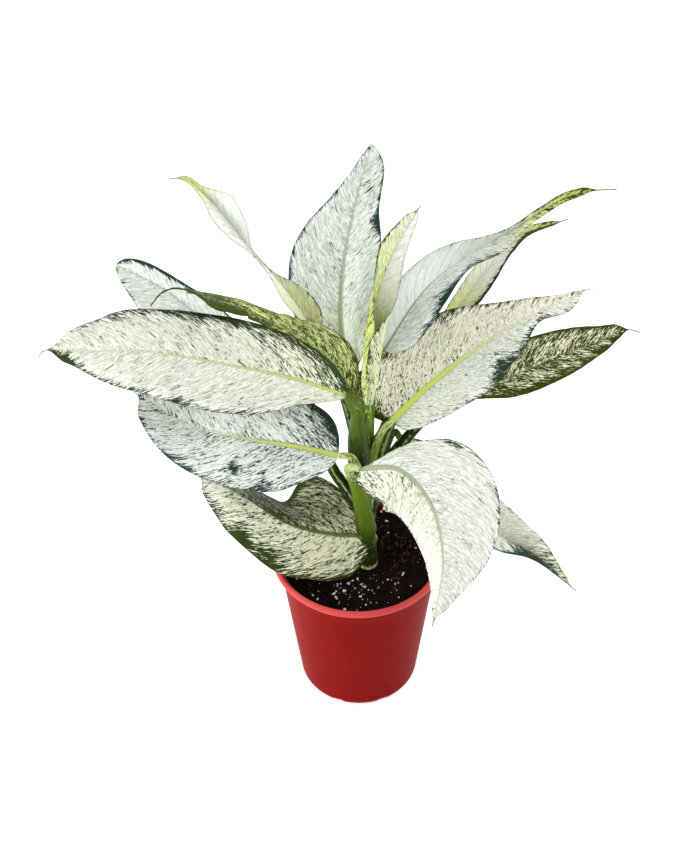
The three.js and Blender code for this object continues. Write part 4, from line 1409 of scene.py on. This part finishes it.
def blade_skins(leaf, blades):
    """Both skins of a blade as grids of points, with its fields.

    The midrib is a spline. Across it, each half leaves at its fold angle and bends evenly on
    to the margin, so it is a circular arc as long as the half is wide. The half width is the
    share of the length to the power of the base's bluntness, times the share left to the
    power of the tip's. Added to that are the margin's waves, small ripples near it, bulges
    between the side veins, and the midrib: a low strip above, a rounded keel below."""
    # The rows are closer at both ends, and the columns at the midrib.
    share = np.linspace(0, 1, BLADE_ROWS)
    share = share - 0.07 * np.sin(2 * np.pi * share)
    centre, ahead, length = along_midrib(leaf, share)
    up = spline(leaf["face"], share)
    up = unit(up - ahead * (ahead * up).sum(axis=1, keepdims=True))
    right = np.cross(ahead, up)
    reach = np.linspace(0, 1, BLADE_COLUMNS) ** 1.2
    reach = np.concatenate([-reach[:0:-1], reach])[None, :]
    s = share[:, None]
    side = np.where(reach < 0, 0, 1)
    sign, reach = np.sign(reach), np.abs(reach)

    def halves(key, along):
        """A leaf's series of values, each half of the blade by its own."""
        return np.where(side == 0, *[along(values, s) for values in leaf[key]])

    # The outline, and each half's arc.
    base, tip = leaf["shape"]
    widest = base / (base + tip)
    inside = np.clip(s, 1e-4, 1 - 1e-4)
    outline = (inside / widest) ** base * ((1 - inside) / (1 - widest)) ** tip
    outline = outline * halves("trim", softly)
    outline = outline * (1 - smooth(leaf["tail"] - 0.05, leaf["tail"] + 0.02, s))
    least = 0.9 - 0.6 * s
    half = np.maximum(np.array(leaf["half"])[side] * outline, least)
    fold = np.where(side == 0, *[station(angles, s) for angles in zip(*leaf["fold"])])
    fold = np.radians(fold + halves("refold", softly))
    curl = np.radians(np.array(leaf["curl"], float)[side] + halves("roll", softly))
    angle = fold + curl * reach
    across = half * (np.sin(angle) - np.sin(fold)) / curl
    lift = half * (np.cos(fold) - np.cos(angle)) / curl
    # Waves, and ripples of 16 mm with an uneven pace, both lower where the half is narrow.
    number = leaf["rib"][0][0]
    wave, count, phase = leaf["wave"]
    swing = np.sin(2 * np.pi * count * s + phase + WAVE_SHIFT * (side == 0))
    ripple = np.sin(s * length / 2.6 + 2 * np.sin(s * length / 9 + number) + side)
    waving = wave * reach**2 * swing + RIPPLE * reach**6 * ripple
    lift = lift + waving * np.minimum(1, half / WAVE_WIDTH)
    # Side veins, which the blade bulges between.
    across_mm = half * reach
    vein_along = s * length - across_mm * (leaf["sweep"] + 0.5 * reach)
    spacing = blades.vein_spacing / MM
    wandering = vein_along + WANDER * np.sin(vein_along * WANDER_TURN + number)
    beside = np.abs(wandering / spacing - np.round(wandering / spacing)) * spacing
    open_blade = smooth(0.02, 0.3, reach) * (1 - smooth(0.75, 1, reach))
    bulge = blades.quilting / MM * (1 - bell(beside, 1.1)) * open_blade
    # The midrib's strip, the groove beside it, and the keel below.
    rib_half = RIB_HALF * (1 - s) ** 1.15 + 0.2
    strip = RIB_STRIP * np.exp(-((across_mm / rib_half) ** 4)) * (1 - s)
    groove = RIB_GROOVE * bell(across_mm - KEEL_WIDTH * rib_half, 0.8) * (1 - s)
    keel = blades.rib_depth / MM * (1 - s) ** RIB_TAPER
    keel = keel * bell(across_mm, KEEL_WIDTH * rib_half)
    thick = blades.thickness / MM / 2 * (1 - 0.45 * reach**4)
    # The skins lie off the middle surface, which a lobe draws back beside the stalk.
    normal = up[:, None] * np.cos(angle)[..., None]
    normal = normal - right[:, None] * (sign * np.sin(angle))[..., None]
    middle = centre[:, None] + right[:, None] * (sign * across)[..., None]
    middle = middle + up[:, None] * lift[..., None]
    lobe = np.array(leaf["lobe"])[side] * reach**2 * smooth(0.3, 0, s)
    middle = middle - ahead[:, None] * (lobe * np.minimum(1, half / 10))[..., None]
    upper = middle + normal * (thick + bulge + strip - groove)[..., None]
    lower = middle - normal * (thick - bulge + keel)[..., None]
    # The cover, with the green that gathers at the margin and the blotches.
    from_margin = half * (1 - reach)
    width = np.where(side == 0, *[edge[0] for edge in leaf["edges"]])
    amount = np.where(side == 0, *[evenly(edge[1], s) for edge in leaf["edges"]])
    cover = halves("cover", evenly) + amount * np.exp(-((from_margin / width) ** 1.5))
    for along, beside_rib, size, green in leaf["blotches"]:
        away = np.hypot((s - along) * length, half * (sign * reach - beside_rib))
        cover = cover + green * bell(away, size)
    rib_width, rib_hue, rib_share = leaf["vein"]
    from_rib = across_mm - rib_width * (1 - s) ** 1.1 - 0.15
    fields = {
        "vein_place": (across_mm * leaf["stretch"], vein_along + 31 * side, 3.7 * number),
        "leaf_tint": (cover, halves("lime", evenly), halves("tone", evenly)),
        "rib_place": (from_rib, evenly(rib_share, s), rib_hue),
        "margin_place": (from_margin, leaf["grain"], 0),
    }
    like = 0 * from_margin
    fields = {
        name: np.stack([like + value for value in values], axis=-1)
        for name, values in fields.items()
    }
    return upper, lower, fields


class PLANT_OT_blades(Operator):
    """All fourteen blades, each with its own course, folds, waves and flecks"""

    bl_idname = "dieffenbachia.blades"
    bl_label = "Leaf Blades"

    def execute(self, context):
        blades = context.scene.dieffenbachia_blades
        finish = leaf_blade(blades)
        for leaf in LEAVES:
            upper, lower, fields = blade_skins(leaf, blades)
            rings = np.concatenate([upper, lower[:, ::-1]], axis=1)
            for name, field in fields.items():
                back = field[:, ::-1].copy()
                if name == "leaf_tint":
                    back[..., 0] += UNDERSIDE_COVER
                fields[name] = np.concatenate([field, back], axis=1).reshape(-1, 3)
            made = piece(
                leaf["name"].replace("leaf", "blade"), rings.reshape(-1, 3),
                lofted(rings.shape[:2]), finish, fields,
            )
            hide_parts(leaf["name"])
        return {"FINISHED"}


class PLANT_OT_stage(Operator):
    """The camera, the lights and the white floor"""

    bl_idname = "dieffenbachia.stage"
    bl_label = "Stage"

    def execute(self, context):
        stage = context.scene.dieffenbachia_stage
        self.camera(context, stage)
        mesh = bpy.data.meshes.new("floor")
        reach = 6
        corners = [(-reach, -reach, 0), (reach, -reach, 0), (reach, reach, 0), (-reach, reach, 0)]
        mesh.from_pydata(corners, [], [(0, 1, 2, 3)])
        mesh.materials.append(opal_sheet())
        floor = bpy.data.objects.new("floor", mesh)
        context.scene.collection.objects.link(floor)
        self.lights(context)
        return {"FINISHED"}

    def camera(self, context, stage):
        """Sets the camera back from its target along the line of sight, and turns it to the
        three directions right, up and back."""
        target = Vector(AIM) * MM
        back = Vector((0, -np.cos(stage.elevation), np.sin(stage.elevation)))
        right = Vector((1, 0, 0))
        up = back.cross(right)
        turned_right = right * np.cos(stage.roll) - up * np.sin(stage.roll)
        turned_up = right * np.sin(stage.roll) + up * np.cos(stage.roll)
        data = bpy.data.cameras.new("camera")
        data.sensor_fit = "HORIZONTAL"
        data.sensor_width = 36
        data.lens = stage.lens
        data.clip_end = 50
        camera = bpy.data.objects.new("camera", data)
        turn = Matrix((turned_right, turned_up, back)).transposed()
        camera.matrix_world = Matrix.Translation(target + back * stage.distance) @ turn.to_4x4()
        context.scene.collection.objects.link(camera)
        context.scene.camera = camera

    def lights(self, context):
        """A broad soft light from above on the left, as even as a window's, a low one on the
        left for the pot's side, a faint one on the right, and an even white surround. The
        three lamps point at the pot."""
        plan = (
            ("window", "SUN", (-0.3, -0.45, 0.9), 0.8, {"angle": np.radians(80)}),
            ("low_left", "AREA", (-1.1, -0.2, 0.1), 18, {"size": 0.8}),
            ("fill_right", "AREA", (1.0, 0, 1.2), 11, {"size": 0.8}),
        )
        for name, kind, place, energy, settings in plan:
            data = bpy.data.lights.new(name, kind)
            data.energy = energy
            for key, value in settings.items():
                setattr(data, key, value)
            lamp = bpy.data.objects.new(name, data)
            lamp.location = place
            away = Vector(place) - Vector((0, 0, 100)) * MM
            lamp.rotation_euler = away.to_track_quat("Z", "Y").to_euler()
            context.scene.collection.objects.link(lamp)
        world = bpy.data.worlds.new("surround")
        world.use_nodes = True
        background = world.node_tree.nodes["Background"].inputs
        background["Color"].default_value = (1, 1, 1, 1)
        background["Strength"].default_value = 0.55
        context.scene.world = world
        context.scene.view_settings.view_transform = "Standard"


class PLANT_PT_panel(Panel):
    """Lists the pieces and their settings"""

    bl_idname = "PLANT_PT_panel"
    bl_label = "Dieffenbachia"
    bl_space_type = "VIEW_3D"
    bl_region_type = "UI"
    bl_category = "Dieffenbachia"

    def draw(self, context):
        for operator, settings in zip(OPERATORS, SETTINGS):
            box = self.layout.box()
            box.operator(operator.bl_idname)
            name, group = settings
            for key in group.__annotations__:
                box.prop(getattr(context.scene, name), key)


OPERATORS = (PLANT_OT_pot, PLANT_OT_soil, PLANT_OT_stem, PLANT_OT_blades, PLANT_OT_stage)
SETTINGS = (
    ("dieffenbachia_pot", PotSettings),
    ("dieffenbachia_soil", SoilSettings),
    ("dieffenbachia_stem", StemSettings),
    ("dieffenbachia_blades", BladeSettings),
    ("dieffenbachia_stage", StageSettings),
)


def register():
    for _, settings in SETTINGS:
        bpy.utils.register_class(settings)
    for operator in OPERATORS:
        bpy.utils.register_class(operator)
    bpy.utils.register_class(PLANT_PT_panel)
    for name, settings in SETTINGS:
        setattr(bpy.types.Scene, name, PointerProperty(type=settings))


def unregister():
    for name, _ in SETTINGS:
        delattr(bpy.types.Scene, name)
    bpy.utils.unregister_class(PLANT_PT_panel)
    for operator in OPERATORS:
        bpy.utils.unregister_class(operator)
    for _, settings in SETTINGS:
        bpy.utils.unregister_class(settings)


def main():
    register()
    bpy.ops.dieffenbachia.pot()
    bpy.ops.dieffenbachia.soil()
    bpy.ops.dieffenbachia.stem()
    bpy.ops.dieffenbachia.blades()
    bpy.ops.dieffenbachia.stage()


if __name__ == "__main__":
    main()
